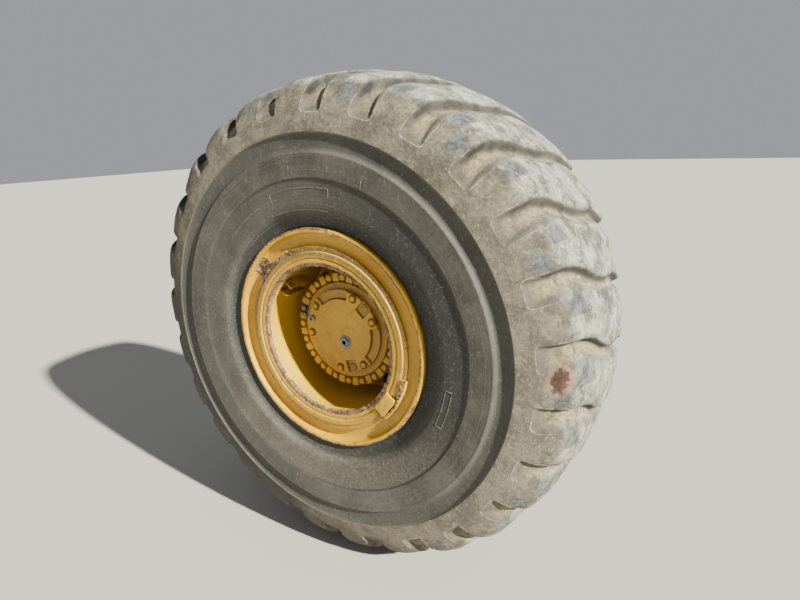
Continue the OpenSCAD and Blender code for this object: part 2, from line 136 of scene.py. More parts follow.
# %% Drawing a profile
def pick(*pieces):
    """Selects these pieces and nothing else, and makes the first one active."""
    if bpy.context.object and bpy.context.object.mode != "OBJECT":
        bpy.ops.object.mode_set(mode="OBJECT")
    bpy.ops.object.select_all(action="DESELECT")
    for piece in pieces:
        piece.select_set(True)
    if pieces:
        bpy.context.view_layer.objects.active = pieces[0]

def rounded(points, steps=3):
    """Replaces each corner that has a third number by a small curve of that size."""
    out = []
    for i, p in enumerate(points):
        corner = np.array(p[:2], float)
        if len(p) == 2:
            out.append(corner)
            continue
        before, after = (np.array(points[j % len(points)][:2], float) for j in (i - 1, i + 1))
        start = corner + (before - corner) * min(p[2] / np.linalg.norm(before - corner), 0.49)
        end = corner + (after - corner) * min(p[2] / np.linalg.norm(after - corner), 0.49)
        for t in np.linspace(0, 1, steps + 1):
            out.append((1 - t) ** 2 * start + 2 * t * (1 - t) * corner + t ** 2 * end)
    return out

def arc(centre, r, start, end, steps):
    """Points on a circle. An angle of 0 points straight away from the axle, and 90 outboard."""
    turns = np.radians(np.linspace(start, end, steps + 1))
    return [(centre[0] + r * cos(a), centre[1] + r * sin(a)) for a in turns]

def from_middle(points):
    """Profile points given about the wheel's middle plane, as distances outboard of the flange."""
    return [(p[0], MIDDLE + p[1]) + tuple(p[2:]) for p in points]

square = rounded([(0, 0), (1, 0, 0.1), (1, 1), (0, 1)])
print("a square with one rounded corner has", len(square), "points")

# %% [markdown]
# The profile stands upright at a clock angle, seen from outboard, and is spun clockwise about the
# axle. A spin by operator leaves doubled vertices at its seam and at the axle, and normals that may
# point inwards, so both are put right at once.

# %% Spinning a profile
TOUCHING = 1e-6

def spun(name, profile, steps=240, start=0.0, sweep=360.0):
    """Draws a closed profile at a clock angle and spins it clockwise about the wheel's axis."""
    pick()
    bpy.ops.mesh.primitive_plane_add(size=0.01)
    piece = bpy.context.object
    piece.name = piece.data.name = name
    bpy.ops.object.mode_set(mode="EDIT")
    bpy.ops.mesh.merge(type="CENTER")
    places = [Vector((p[0] * sin(radians(start)), -p[1], p[0] * cos(radians(start)))) for p in profile]
    bpy.ops.transform.translate(value=places[0])
    for here, there in zip(places, places[1:] + places[:1]):
        bpy.ops.mesh.extrude_region_move(TRANSFORM_OT_translate={"value": there - here})
    bpy.ops.mesh.select_all(action="SELECT")
    bpy.ops.mesh.remove_doubles(threshold=TOUCHING)
    if abs(sweep) < 360:
        bpy.ops.mesh.edge_face_add()
    bpy.ops.mesh.spin(steps=steps, angle=radians(sweep), center=(0, 0, 0), axis=(0, -1, 0))
    bpy.ops.mesh.select_all(action="SELECT")
    bpy.ops.mesh.remove_doubles(threshold=TOUCHING)
    bpy.ops.mesh.delete_loose()
    bpy.ops.mesh.select_all(action="SELECT")
    bpy.ops.mesh.normals_make_consistent(inside=False)
    bpy.ops.object.mode_set(mode="OBJECT")
    return piece

# %% [markdown]
# A spun piece is still too perfect. So its vertices are read as arrays, as radius, clock angle and
# distance from the wheel's middle plane, moved a little, and written back. Seeded noise gives dents
# that are the same on every run. What a finish has to know, such as wear, is stored on the vertices.

# %% Reading and moving vertices
def numbers(items, key, size, kind=float):
    """Reads one property of every vertex or edge as an array."""
    values = np.empty(len(items) * size, kind)
    items.foreach_get(key, values)
    return values.reshape(-1, size)

def corners(piece):
    """A piece's vertices as an array, with radius, clock angle and distance from the middle plane."""
    co = numbers(piece.data.vertices, "co", 3)
    clock = np.degrees(np.arctan2(co[:, 0], co[:, 2])) % 360
    return co, np.hypot(co[:, 0], co[:, 2]), clock, -co[:, 1] - MIDDLE

def put_corners(piece, radius, clock, depth):
    """Sets the vertices from radius, clock angle and distance from the middle plane."""
    turns = np.radians(clock)
    co = np.stack([radius * np.sin(turns), -(depth + MIDDLE), radius * np.cos(turns)], axis=1)
    piece.data.vertices.foreach_set("co", co.ravel())
    piece.data.update()

def rough(places, scale, seed=0.0):
    """Smooth noise from -1 to 1 at each place, with features about 1 / scale metres wide."""
    offset = Vector((seed * 7.3, seed * 3.1, seed * 5.7))
    return np.array([noise.noise(Vector(p) * scale + offset) for p in places])

def smooth_step(x):
    """Eases from 0 to 1 while x goes from 0 to 1."""
    x = np.clip(x, 0, 1)
    return x * x * (3 - 2 * x)

def hump(value, middle, width):
    """A smooth hump: 1 where the value is at the middle, and near 0 two widths away."""
    return np.exp(-((value - middle) / width) ** 2)

def soften(piece, angle):
    """Smooth shading, except across edges sharper than an angle in degrees."""
    pick(piece)
    bpy.ops.object.shade_smooth_by_angle(angle=radians(angle))

def keep_value(piece, name, values):
    """Stores one number for each vertex, for the piece's own finish to read."""
    layer = piece.data.attributes.new(name, "FLOAT", "POINT")
    layer.data.foreach_set("value", np.asarray(values, np.float32))

def stand_for(piece, node, body="wheel"):
    """Makes a piece ride a body in place of a node of the frame."""
    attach(piece, body)
    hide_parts(node)
    return piece

print("noise at one place:", rough([(0.1, 0.2, 0.3)], 16), "and half way up a step:", smooth_step(0.5))

# %% [markdown]
# The tread is the wheel's main feature: 26 lugs on each side, cut apart by grooves. A groove leaves the
# shoulder straight, bends into an S, crosses the middle and leaves the other shoulder in the same way.
# A boolean would leave sharp, new edges, so the tread is spun as a fine net instead, and its vertices
# are pushed down along the section's normal. The net's columns follow the S, and they crowd together
# at the steep groove walls, so a few columns give crisp walls.

# %% Section of the tread
LUGS = 26
LUG_STEP = 360 / LUGS
FIRST_GROOVE, COLUMNS_A_LUG = 1.65, 30
CROWN_EDGE = 0.290
HALF_TREAD, SHOULDER_DROP = 0.3025, 0.040
SWEEP_START, SWEEP_SHIFT = 0.2975, 0.082
BUTTRESS = [(0.7156, 0.3833), (0.7205, 0.3830), (0.730, 0.3805), (0.750, 0.3765), (0.775, 0.3705),
            (0.800, 0.3618), (0.822, 0.3515), (0.840, 0.3405), (0.856, 0.3275), (0.8695, 0.3125)]
LINER = [(0.700, -0.340), (0.830, -0.270), (0.855, 0.0), (0.830, 0.270), (0.700, 0.340)]

def crown(d):
    """The crown's radius at a distance from the middle plane."""
    return TYRE_R - SHOULDER_DROP * (d / HALF_TREAD) ** 2

def resampled(points, n):
    """Walks along a polyline in n equal steps."""
    points = np.array(points, float)
    run = np.concatenate([[0], np.cumsum(np.linalg.norm(np.diff(points, axis=0), axis=1))])
    at = np.linspace(0, run[-1], n + 1)
    return np.stack([np.interp(at, run, points[:, k]) for k in (0, 1)], axis=1)

def half_section(side_rows, crown_rows):
    """Section of the tread from the crease to the middle, as (radius, distance from the middle)."""
    d = np.linspace(CROWN_EDGE, 0, crown_rows)
    return np.concatenate([resampled(BUTTRESS, side_rows), np.stack([crown(d), d], axis=1)])

near_rows = half_section(side_rows=26, crown_rows=38)
far_rows = half_section(side_rows=20, crown_rows=27)[:-1][::-1] * (1, -1)
section = np.concatenate([near_rows, far_rows])
COLUMNS = COLUMNS_A_LUG * LUGS
tread = spun("tyre_tread", from_middle(np.concatenate([section, LINER]).tolist()), COLUMNS)
print("tread net:", len(tread.data.vertices), "vertices,", len(section), "rows of", COLUMNS)

# %% [markdown]
# Now the net is bent into lugs. A groove's width and depth change along its way, so they are kept as
# short tables that are read between their values. The S is made of two arcs, and the columns crowd
# where a steep wall will stand.

# %% How a groove runs
GROOVE_HALF, SHOULDER_R = 0.042, 0.88
STEEP_WALL = 0.015
HALF_ON_CROWN = ([0, 0.15, 0.29], [0.026, 0.033, 0.042])
DEPTH_ON_CROWN = ([0, 0.08, 0.166, 0.23, 0.29], [0.020, 0.026, 0.030, 0.036, 0.040])
DEPTH_ON_SIDE = ([0.772, 0.777, 0.79, 0.81, 0.835, 0.86, 0.88],
                 [0, 0.004, 0.009, 0.016, 0.025, 0.033, 0.040])
RAMP_BY_RADIUS = ([0.775, 0.80, 0.84, 0.88, 0.90], [0.010, 0.016, 0.034, 0.050, 0.050])
FOOT_R, FOOT_ROUND = 0.7745, 0.018
ARC_R = (SWEEP_START ** 2 + SWEEP_SHIFT ** 2) / (4 * SWEEP_SHIFT)

def sweep_angle(d):
    """How far the groove has moved round the tyre at a distance from the middle: an S of two arcs."""
    run = np.clip(SWEEP_START - np.abs(d), 0, None)
    first = ARC_R - np.sqrt(ARC_R ** 2 - np.minimum(run, SWEEP_START / 2) ** 2)
    second = ARC_R - np.sqrt(ARC_R ** 2 - np.minimum(SWEEP_START - run, SWEEP_START / 2) ** 2)
    return np.degrees(np.where(run < SWEEP_START / 2, first, SWEEP_SHIFT - second) / crown(np.abs(d)))

def crowded(share):
    """Share of a lug step to place: columns crowd where the steep wall of a groove is."""
    grid = np.linspace(0, 1, 721)
    wall = degrees(GROOVE_HALF / SHOULDER_R) / LUG_STEP
    crowds = ((wall - 0.05, 0.9, 0.08), (-wall + 0.03, 2.8, 0.045))
    density = 1 + sum(more * hump((grid - at + 0.5) % 1, 0.5, size) for at, more, size in crowds)
    run = np.concatenate([[0], np.cumsum((density[1:] + density[:-1]) / 2)])
    return np.floor(share) + np.interp(share % 1, run / run[-1], grid)

print("the S moves a groove", round(float(sweep_angle(0.0)), 2), "degrees round, half way across")

# %% [markdown]
# Each vertex knows its row along the section and its column round the tyre. The columns are moved to
# follow the S, and closer together towards the middle, where the groove is narrow. What is left is the
# distance of each vertex from the groove's two walls and from the pocket's foot on the buttress.

# %% Where each vertex lies on its lug
co, radius, clock, depth = corners(tread)
row = np.argmin(np.hypot(radius[:, None] - section[:, 0], depth[:, None] - section[:, 1]), axis=1)
skin = np.hypot(radius - section[row, 0], depth - section[row, 1]) < 1e-4
column = np.round(clock / 360 * COLUMNS) % COLUMNS
middle_sweep = sweep_angle(0.0)
swept = np.where(depth >= 0, sweep_angle(depth), 2 * middle_sweep - sweep_angle(depth))
place = crowded(column / (COLUMNS / LUGS))
across = ((place + 0.5) % 1 - 0.5) * LUG_STEP
lug = np.floor(place + 0.5)

# The groove narrows towards the middle, and its columns move along with its walls
on_crown = np.abs(depth) < CROWN_EDGE + 0.0005
half = np.where(on_crown, np.interp(np.abs(depth), *HALF_ON_CROWN), GROOVE_HALF)
full_angle = np.degrees(GROOVE_HALF / SHOULDER_R)
half_angle = np.degrees(half / np.maximum(radius, FOOT_R))
beyond = (np.abs(across) - full_angle) * (LUG_STEP / 2 - half_angle) / (LUG_STEP / 2 - full_angle)
edge_now = np.where(np.abs(across) < full_angle, across * half_angle / full_angle,
                    np.sign(across) * (half_angle + beyond))
new_clock = FIRST_GROOVE + (place * LUG_STEP - across + edge_now) + swept
from_steep = (edge_now + half_angle) * np.radians(1) * radius
from_gentle = (half_angle - edge_now) * np.radians(1) * radius
from_foot = radius - FOOT_R + np.where(np.abs(depth) < 0.30, 1.0, 0.0)
print("vertices on the skin:", int(skin.sum()), "of", len(co))

# %% [markdown]
# Years of driving have worn each lug like a saw tooth: it drops steeply into one groove, and rises
# gently out of the other. So the sinking is a product of two steps, one narrow and one wide, and both
# end in a rounded pocket at the foot.

# %% How deep each vertex sinks
def corner_distance(a, b, r):
    """Distance inside a rounded corner whose two sides are a and b away."""
    both = (a < r) & (b < r)
    return np.where(both, r - np.hypot(r - a, r - b), np.minimum(a, b))

inside = np.minimum(corner_distance(from_steep, from_foot, FOOT_ROUND),
                    corner_distance(from_gentle, from_foot, FOOT_ROUND))
deepest = np.where(on_crown, np.interp(np.abs(depth), *DEPTH_ON_CROWN), np.interp(radius, *DEPTH_ON_SIDE))
ramp = np.minimum(np.interp(radius, *RAMP_BY_RADIUS), 1.25 * half)
sink = deepest * smooth_step(from_steep / STEEP_WALL) * smooth_step(from_gentle / ramp)
sink *= smooth_step(from_foot / 0.004)

# Section normals, widely averaged so that the floor stays even round the shoulder
tangent = np.gradient(section, axis=0)
normal = np.stack([tangent[:, 1], -tangent[:, 0]], axis=1)
normal *= np.sign(normal[len(section) // 2, 0])
normal = np.pad(normal, ((5, 5), (0, 0)), "edge")
normal = np.stack([np.convolve(normal[:, k], np.ones(11) / 11, "valid") for k in (0, 1)], axis=1)
normal /= np.linalg.norm(normal, axis=1)[:, None]
print("deepest groove", round(float(sink[skin].max()), 4), "m; columns a lug step", COLUMNS // LUGS)

# %% [markdown]
# Each lug gets its own small height and rounded edges. Noise adds dents, bites along the edges and torn
# bits on the shoulder. The nose beside the gentle wall, and the low end of every other lug, are rubbed
# bare, so their share is kept for the finish.

# %% Wear on the lugs
LUG_SPREAD, BITE_DEEP, TEAR_DEEP = 0.0025, 0.005, 0.003

# Each rubbed or torn place: its distance from the middle plane or from a wall, and its width
NOSE_AT, NOSE_BESIDE = (0.266, 0.048), (-0.042, 0.050)
LOW_END_AT, LOW_END_BESIDE = (0.336, 0.024), (-0.040, 0.040)
TORN_AT = (0.302, 0.008)
rng = np.random.default_rng(7)
lug_height = rng.uniform(0, LUG_SPREAD, (2, LUGS))
far_half = (depth < 0).astype(int)
lug_low = lug_height[far_half, (lug % LUGS).astype(int)]

def edge_share(distance, outside, inside_width):
    """1 at a groove's edge, falling to 0 on the lug and on the groove's floor."""
    on_floor = 1 - smooth_step(distance / inside_width)
    return np.where(distance < 0, smooth_step(1 + distance / outside), on_floor)

nose = hump(np.abs(depth), *NOSE_AT) * hump(from_gentle, *NOSE_BESIDE) * (inside < 0.004)
low_end = hump(np.abs(depth), *LOW_END_AT) * hump(from_steep, *LOW_END_BESIDE) * (inside < 0.002)
low_end *= np.where(lug % 2 == 1, 1.0, 0.25)
nose = np.maximum(nose, 0.95 * low_end)
rounding = 0.0045 * edge_share(from_steep, 0.022, STEEP_WALL)
rounding = rounding + 0.0060 * edge_share(from_gentle, 0.060, ramp)
lowered = lug_low * (1 - smooth_step(inside / 0.015)) * smooth_step(np.abs(depth) / 0.1)
wear = np.where(on_crown, 1.0, smooth_step((radius - 0.80) / 0.07)) * (lowered + rounding)
dents = 0.0012 * rough(co, 16) + 0.0007 * rough(co, 48, 1)
near_edge = hump(inside, 0, 0.008) * smooth_step((deepest - 0.012) / 0.012)
bites = BITE_DEEP * near_edge * smooth_step((rough(co, 38, 2) - 0.28) / 0.25)
torn_noise = rough(co, 75, 5) + 0.35 * hump(inside, 0, 0.025)
tears = hump(np.abs(depth), *TORN_AT) * (radius > 0.86) * smooth_step((torn_noise - 0.06) / 0.26)
print("bites at most", round(float(bites.max()) * 1000, 1), "mm; torn vertices", int((tears > 0.5).sum()))

# %% [markdown]
# All the wear is added up, and each vertex is pushed down along the section's normal. The same numbers
# are kept as attributes, so that dust, dirt, painted shade and cracks will follow the shape exactly.

# %% The tread takes its shape
down = sink + wear + bites + TEAR_DEEP * tears + np.where(on_crown | (radius > 0.78), dents, 0.3 * dents)
down = np.where(skin, down, 0)
new_radius = radius - down * normal[row, 0]
new_depth = depth - down * normal[row, 1]
new_radius = np.minimum(new_radius, TYRE_R - 0.0001)
put_corners(tread, new_radius, np.where(skin, new_clock, clock + middle_sweep), new_depth)
# Dirt and painted shade on the steep walls, kept for the finish
wall_dirt_and_shade = hump(from_steep, 0.007, 0.011) * smooth_step(from_gentle / 0.02)
wall_dirt_and_shade = wall_dirt_and_shade * smooth_step((from_foot - 0.02) / 0.05)
keep_value(tread, "pocket_edge", np.where(skin, inside, -1))
keep_value(tread, "lug_tone", rng.uniform(0, 1, (2, LUGS))[far_half, (lug % LUGS).astype(int)])
kept = {"sunk": np.clip(sink / 0.04, 0, 1), "torn": tears, "nose": nose, "wall_dirt_and_shade": wall_dirt_and_shade}
for name, values in kept.items():
    keep_value(tread, name, np.where(skin, values, 0))
soften(tread, 60)
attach(tread, "wheel")
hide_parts("tyre")
print("tread reaches", round(float(new_radius.max()), 4), "m from the axis")

# %% [markdown]
# The sidewalls are plain turned rings. From the tread's crease inwards comes a hollow band, the
# ridge that guards the sidewall, a flat belt, a small step, a wide plain band, and the bead that the
# rim's flange covers. Each ring is closed, with the casing's thickness behind it.

# %% Sidewalls
FLANGE_BEND = 0.0344
FLANGE_CURVE = (FLANGE_R - FLANGE_BEND, LIP - 0.0106)
SIDEWALL = [(0.7156, 0.3833), (0.7140, 0.3800, 0.001), (0.704, 0.3778), (0.692, 0.3764), (0.680, 0.3762),
            (0.669, 0.3764), (0.6612, 0.3773), (0.6570, 0.3806, 0.002), (0.6510, 0.3875, 0.003),
            (0.6440, 0.3868, 0.003), (0.632, 0.3864), (0.612, 0.3856), (0.592, 0.3845),
            (0.5735, 0.3834, 0.002), (0.5691, 0.3815, 0.002), (0.5655, 0.3795, 0.003),
            (0.545, 0.3785), (0.520, 0.3775),
            (0.490, 0.3764), (0.476, 0.3755), (0.466, 0.3725), (0.456, 0.3660), (0.446, 0.3590),
            (0.436, 0.3540), (0.424, 0.3510), (0.4135, 0.3490)]
BEAD = [(0.3178, 0.3172), (0.3113, 0.2435, 0.002), (0.3235, 0.2435, 0.004), (0.3575, 0.2555),
        (0.4064, 0.2955), (0.550, 0.343), (0.647, 0.3495), (0.700, 0.340)]

def mirrored(points):
    """The same profile on the inboard side of the wheel's middle plane."""
    return [(p[0], -p[1]) + tuple(p[2:]) for p in points]

half_wall = rounded(SIDEWALL + arc(FLANGE_CURVE, 0.0348, -8, -90, 8) + BEAD)

outer_wall = spun("tyre_sidewall_out", from_middle(half_wall), COLUMNS // 2)
inner_wall = spun("tyre_sidewall_in", from_middle(mirrored(half_wall)), COLUMNS // 2)
for wall in (outer_wall, inner_wall):
    co, radius, clock, depth = corners(wall)
    shown = smooth_step((radius - 0.43) / 0.02) * smooth_step((0.712 - radius) / 0.01)
    shown = shown * (np.abs(depth) > 0.36)
    swell = 0.0006 * rough(co, 9) + 0.0003 * rough(co, 40, 3)
    put_corners(wall, radius, clock, depth + np.sign(depth) * shown * (swell - 0.0008))
    soften(wall, 40)
    stand_for(wall, "tyre")
print("sidewalls:", [len(w.data.polygons) for w in (outer_wall, inner_wall)], "faces")

# %% [markdown]
# The rim is made of five rings, as on the real wheel: two side rings, the base with its gutter lip, the
# bead seat band, and the lock ring that holds them all on. Each is spun from its own profile. Every
# corner is rounded a little, because those edges catch the light.

# %% Side rings
FLANGE_T = 0.018
RIM_COLUMNS = 720
NOTCH_FROM, NOTCH_TO, NOTCH_RADII = 305.0, 317.0, (0.335, 0.388)
GOUGE_CLOCKS, GOUGE_RADII = (307.5, 311.5), (0.352, 0.376)
SCUFFED_CLOCKS, SCUFFED_RADII = (34, 60), (0.348, 0.392)
SUNNY_CLOCKS, STRIPE_RADII, EDGE_R = (8, 112), (0.3900, 0.3968), 0.3975
flange_profile = rounded([(0.3233, 0.3175)]
    + arc(FLANGE_CURVE, FLANGE_BEND, -90, 0, 12)
    + [(FLANGE_R, LIP, 0.006), (FLANGE_R - FLANGE_T, LIP, 0.005)]
    + arc(FLANGE_CURVE, FLANGE_BEND - FLANGE_T, 0, -90, 12)
    + [(0.3475, 0.3355, 0.004), (0.3410, 0.3420, 0.003), (0.3233, 0.3420)])
outer_ring = spun("outer_side_ring", from_middle(flange_profile), RIM_COLUMNS)
inner_ring = spun("inner_side_ring", from_middle(mirrored(flange_profile)), RIM_COLUMNS)

def between(value, low, high, ease):
    """1 between two values, falling to 0 outside them over a distance."""
    return smooth_step((value - low) / ease + 0.5) * smooth_step((high - value) / ease + 0.5)

for ring, node in ((outer_ring, "outer_flange"), (inner_ring, "inner_flange")):
    co, radius, clock, depth = corners(ring)
    lip_share = smooth_step((radius - 0.380) / 0.015)
    nicks = lip_share * smooth_step((rough(co, 22, 6) - 0.25) / 0.3)
    burnt = between(clock, NOTCH_FROM, NOTCH_TO, 3) * between(radius, *NOTCH_RADII, 0.012) * (depth > 0.3)
    gouge = between(clock, *GOUGE_CLOCKS, 1.5) * between(radius, *GOUGE_RADII, 0.006) * (depth > 0.3)
    radius = radius + 0.0010 * lip_share * (rough(co, 14) - 0.5) - 0.0012 * nicks
    sunk = 0.0008 * lip_share * (1 - rough(co, 20, 4)) + 0.0012 * nicks
    slag = burnt * (0.0035 * np.abs(rough(co, 95, 7)) + 0.0020 * rough(co, 190, 8)) - 0.0045 * gouge
    put_corners(ring, radius, clock, depth - np.sign(depth) * sunk + slag)
    edge = smooth_step((radius - EDGE_R) / 0.004)
    sunny = between(clock, *SUNNY_CLOCKS, 16)
    scuffed = between(clock, *SCUFFED_CLOCKS, 10) * between(radius, *SCUFFED_RADII, 0.012)
    stripe = sunny * between(radius, *STRIPE_RADII, 0.003)
    # Painted highlight: the lip's edge is rusted all round, but kept painted where the sun falls
    rubbed = 0.52 * edge * (1 - 0.88 * sunny)
    keep_value(ring, "wear", 0.03 + rubbed + 0.22 * burnt + 0.20 * scuffed + 0.46 * stripe)
    keep_value(ring, "burnt", burnt)
    soften(ring, 50)
    stand_for(ring, node)
print("side rings:", [len(r.data.polygons) for r in (outer_ring, inner_ring)], "faces")

# %% [markdown]
# A driver key sits in a slot that runs through the lock ring's gap, the gutter lip and the band's end.
# The slot's walls are parallel while the rings' columns are radial, so near the key the columns are
# slid until two of them stand on each wall. What lies between the walls is then pressed down.

# %% The key's slot
KEY_CLOCK, KEY_HALF = 128.0, 0.0463
SLOT_COLUMNS, SLOT_REACH, BESIDE_WALL = (8.0, 8.5), 20, 0.03

def slid_to_slot(clock, radius):
    """Clock angles with columns on both sides of each slot wall, and what lies inside the slot."""
    inner, outer = SLOT_COLUMNS
    off = (clock - KEY_CLOCK + 180) % 360 - 180
    size = np.abs(off)
    wall = np.degrees(np.arcsin(KEY_HALF / np.maximum(radius, 0.25)))
    far = wall + BESIDE_WALL + (size - outer) * (SLOT_REACH - wall - BESIDE_WALL) / (SLOT_REACH - outer)
    slid = np.where(size <= outer, wall + BESIDE_WALL, far)
    slid = np.where(size <= inner, size * (wall - BESIDE_WALL) / inner, slid)
    return np.where(size < SLOT_REACH, KEY_CLOCK + np.sign(off) * slid, clock), size <= inner + 1e-6

print("slot:", round(2 * KEY_HALF * 1000, 1), "mm wide, at", KEY_CLOCK, "degrees")

# %% [markdown]
# The rim base is one closed turned piece: the gutter with its two lips outboard, the wall of the dish,
# and the inboard bead seat. Its gutter lip is battered, so noise moves it in and out, and a stretch
# below the key is broken away.

# %% Rim base
WALL_R, GUTTER_R = 0.284, 0.270
SLOT_FLOOR_R, SLOT_BACK = 0.2876, 0.3425
CRUST_RADII, INNER_EDGE_RADII = (0.262, 0.2835), (0.264, 0.2850)
BROKEN_CLOCKS, LESS_BROKEN_CLOCKS = (99, 114), (118, 146)
seat = [(0.3410, 0.3520, 0.003), (0.3410, 0.3423, 0.002), (0.3230, 0.3423), (0.3230, 0.3190),
        (0.3175, 0.3175), (0.3110, 0.2435)]
gutter = [(0.300, 0.323), (0.288, 0.323), (0.288, 0.346), (0.298, 0.346), (0.298, 0.3545, 0.003),
          (0.2925, 0.3545), (0.2875, 0.3545), (0.2835, 0.3545), (0.2800, 0.3543), (0.2765, 0.3538)]
lip_face = [(GUTTER_R, 0.3530, 0.005)] + [(GUTTER_R, d) for d in (0.3440, 0.3385, 0.3330, 0.3270)]
dish_wall = [(WALL_R, 0.311, 0.008)] + [(WALL_R, d) for d in (0.28, 0.2, 0.1, -0.1, -0.3)]
base_profile = rounded(gutter + lip_face + [(GUTTER_R, 0.3220, 0.003)] + dish_wall
    + [(WALL_R, -0.352, 0.003)] + mirrored(seat) + [(0.300, -0.2275)])
rim_base = spun("rim_base_ring", from_middle(base_profile), RIM_COLUMNS)
co, radius, clock, depth = corners(rim_base)
clock, in_slot = slid_to_slot(clock, radius)
slotted = in_slot & (radius > SLOT_FLOOR_R) & (depth > SLOT_BACK)
radius = np.where(slotted, SLOT_FLOOR_R, radius)

# The gutter's inner edge is battered: crusted all round, and broken out below the key
crust = between(radius, *CRUST_RADII, 0.004) * smooth_step((depth - 0.326) / 0.012)
broken = crust * (between(clock, *BROKEN_CLOCKS, 4) + 0.6 * between(clock, *LESS_BROKEN_CLOCKS, 6))
lumps = 0.0022 * rough(co, 120, 9) + 0.0016 * rough(co, 46, 10)
radius = radius + np.where(slotted, 0, crust * lumps)
radius = radius + 0.0045 * broken * smooth_step(rough(co, 70, 11) + 0.4)
depth = depth - crust * (0.0012 + 0.0010 * rough(co, 80, 12)) - 0.0022 * broken
put_corners(rim_base, radius, clock, depth)
inner_edge = between(radius, *INNER_EDGE_RADII, 0.005) * smooth_step((depth - 0.338) / 0.008)
keep_value(rim_base, "wear", 0.08 + 0.20 * crust + 0.26 * inner_edge + 0.20 * np.clip(broken, 0, 1))
# Painted shade high on the dish wall, deep inside, stored with the dirt value
dish_top_shade = smooth_step((np.cos(np.radians(clock - 352)) - 0.72) / 0.2)
keep_value(rim_base, "grime_and_shade", 0.75 * dish_top_shade * (radius < 0.2865) * smooth_step((0.31 - depth) / 0.05))
keep_value(rim_base, "burnt", np.clip(0.46 * inner_edge + 0.55 * broken, 0, 1))
soften(rim_base, 40)
stand_for(rim_base, "rim_base")
print("rim base:", len(rim_base.data.polygons), "faces")

# %% [markdown]
# The bead seat band slides over the base and carries the outer side ring. Its end face shows in the
# photo as a narrow ring: grey and darker at the top, lighter below, and scorched beside the notch.

# %% Bead seat band
BAND_SLOT_R, SCORCHED_TO = 0.3362, 342
band_profile = rounded([(0.3004, 0.150), (0.3044, 0.150), (0.3110, 0.2435), (0.3175, 0.3175),
    (0.3230, 0.3190), (0.3230, 0.3423), (0.3410, 0.3423, 0.002), (0.3410, 0.3520, 0.003),
    (0.3358, 0.3520), (0.3256, 0.3520, 0.002), (0.3004, 0.3343)])
seat_band = spun("seat_band", from_middle(band_profile), RIM_COLUMNS)
co, radius, clock, depth = corners(seat_band)
clock, in_slot = slid_to_slot(clock, radius)
depth = np.where(in_slot & (radius < BAND_SLOT_R) & (depth > SLOT_BACK), SLOT_BACK, depth)
scorched = between(clock, NOTCH_FROM, SCORCHED_TO, 6) * (depth > 0.335)
end_face = smooth_step((depth - 0.346) / 0.004)
put_corners(seat_band, radius, clock, depth + scorched * end_face * 0.0016 * (rough(co, 110, 13) - 0.4))
keep_value(seat_band, "wear", 0.10 + 0.10 * end_face + 0.18 * scorched)
keep_value(seat_band, "burnt", scorched)

def upper_share(clock):
    """1 at the top of the rim and 0 at the bottom."""
    return 0.5 + 0.5 * np.cos(np.radians(clock - 15))

# The end face is darker towards the top
keep_value(seat_band, "grime_and_shade", end_face * (0.24 + 0.82 * upper_share(clock)))
soften(seat_band, 40)
stand_for(seat_band, "bead_seat_band")
print("band:", len(seat_band.data.polygons), "faces")

# %% [markdown]
# The lock ring is split, so it is spun only part of the way and its ends are closed. The driver key
# will fill the gap. It is a good habit to count the edges that don't have two faces: on a closed piece
# there are none.

# %% Lock ring
RING_GAP = 9.38
lock_profile = rounded([(0.2883, 0.3233), (0.2883, 0.3457), (0.2983, 0.3457), (0.2983, 0.3528, 0.002),
    (0.3048, 0.3575, 0.002), (0.310, 0.3575), (0.317, 0.3575), (0.3240, 0.3575, 0.004),
    (0.3240, 0.3514), (0.3000, 0.3348), (0.3000, 0.3233)])
ring_start, ring_sweep = KEY_CLOCK + RING_GAP, 360 - 2 * RING_GAP
lock_ring = spun("split_lock_ring", from_middle(lock_profile), 340, ring_start, ring_sweep)
co, radius, clock, depth = corners(lock_ring)
put_corners(lock_ring, radius + 0.0005 * rough(co, 60, 14), clock, depth - 0.0006 * (1 + rough(co, 40, 15)))
keep_value(lock_ring, "wear", 0.12 + 0.14 * smooth_step(rough(co, 9, 16) + 0.4))
# The lock ring is darker towards the top
darker_at_top = 0.15 + 0.75 * upper_share(clock)
keep_value(lock_ring, "grime_and_shade", darker_at_top * between(radius, 0.3065, 0.3225, 0.004))
soften(lock_ring, 40)
stand_for(lock_ring, "lock_ring")
edge_ends = [sorted(ends) for face in lock_ring.data.polygons for ends in face.edge_keys]
faces_on_edge = np.unique(edge_ends, axis=0, return_counts=True)[1]
open_edges = int(np.sum(faces_on_edge != 2))
print("lock ring:", len(lock_ring.data.polygons), "faces,", open_edges, "open edges")

# %% [markdown]
# Deep in the dish sits the planetary hub. Its parts repeat round the wheel, so each is modelled once at
# the origin with its axis upright, and copied to its clock angle, each copy with a mesh of its own. Worn
# edges matter more than anything else here, so a helper measures how sharply each vertex stands out and
# stores that as wear, which the paint will read.

# %% Helpers for pieces that repeat
def at_clock(angle, radius, out, turned=0.0):
    """Carries a piece with its axis along Z to a clock angle, pointing outboard."""
    place = Matrix.Translation((0, -out, radius)) @ Matrix.Rotation(pi / 2, 4, "X")
    return Matrix.Rotation(radians(angle), 4, "Y") @ place @ Matrix.Rotation(turned, 4, "Z")

def joined(name, *pieces):
    """Makes one named piece of several."""
    pick(*pieces)
    if len(pieces) > 1:
        bpy.ops.object.join()
    pieces[0].name = pieces[0].data.name = name
    return pieces[0]

def copied_to(name, pattern, places):
    """Copies a pattern to every place, joins the copies and removes the pattern."""
    made = []
    for place in places:
        piece = pattern.copy()
        piece.data = pattern.data.copy()
        piece.data.transform(place)
        bpy.context.collection.objects.link(piece)
        made.append(piece)
    pick(pattern)
    bpy.ops.object.delete()
    return joined(name, *made)

def settle():
    """Applies the active object's place, turn and size to its mesh."""
    bpy.ops.object.transform_apply(location=True, rotation=True, scale=True)

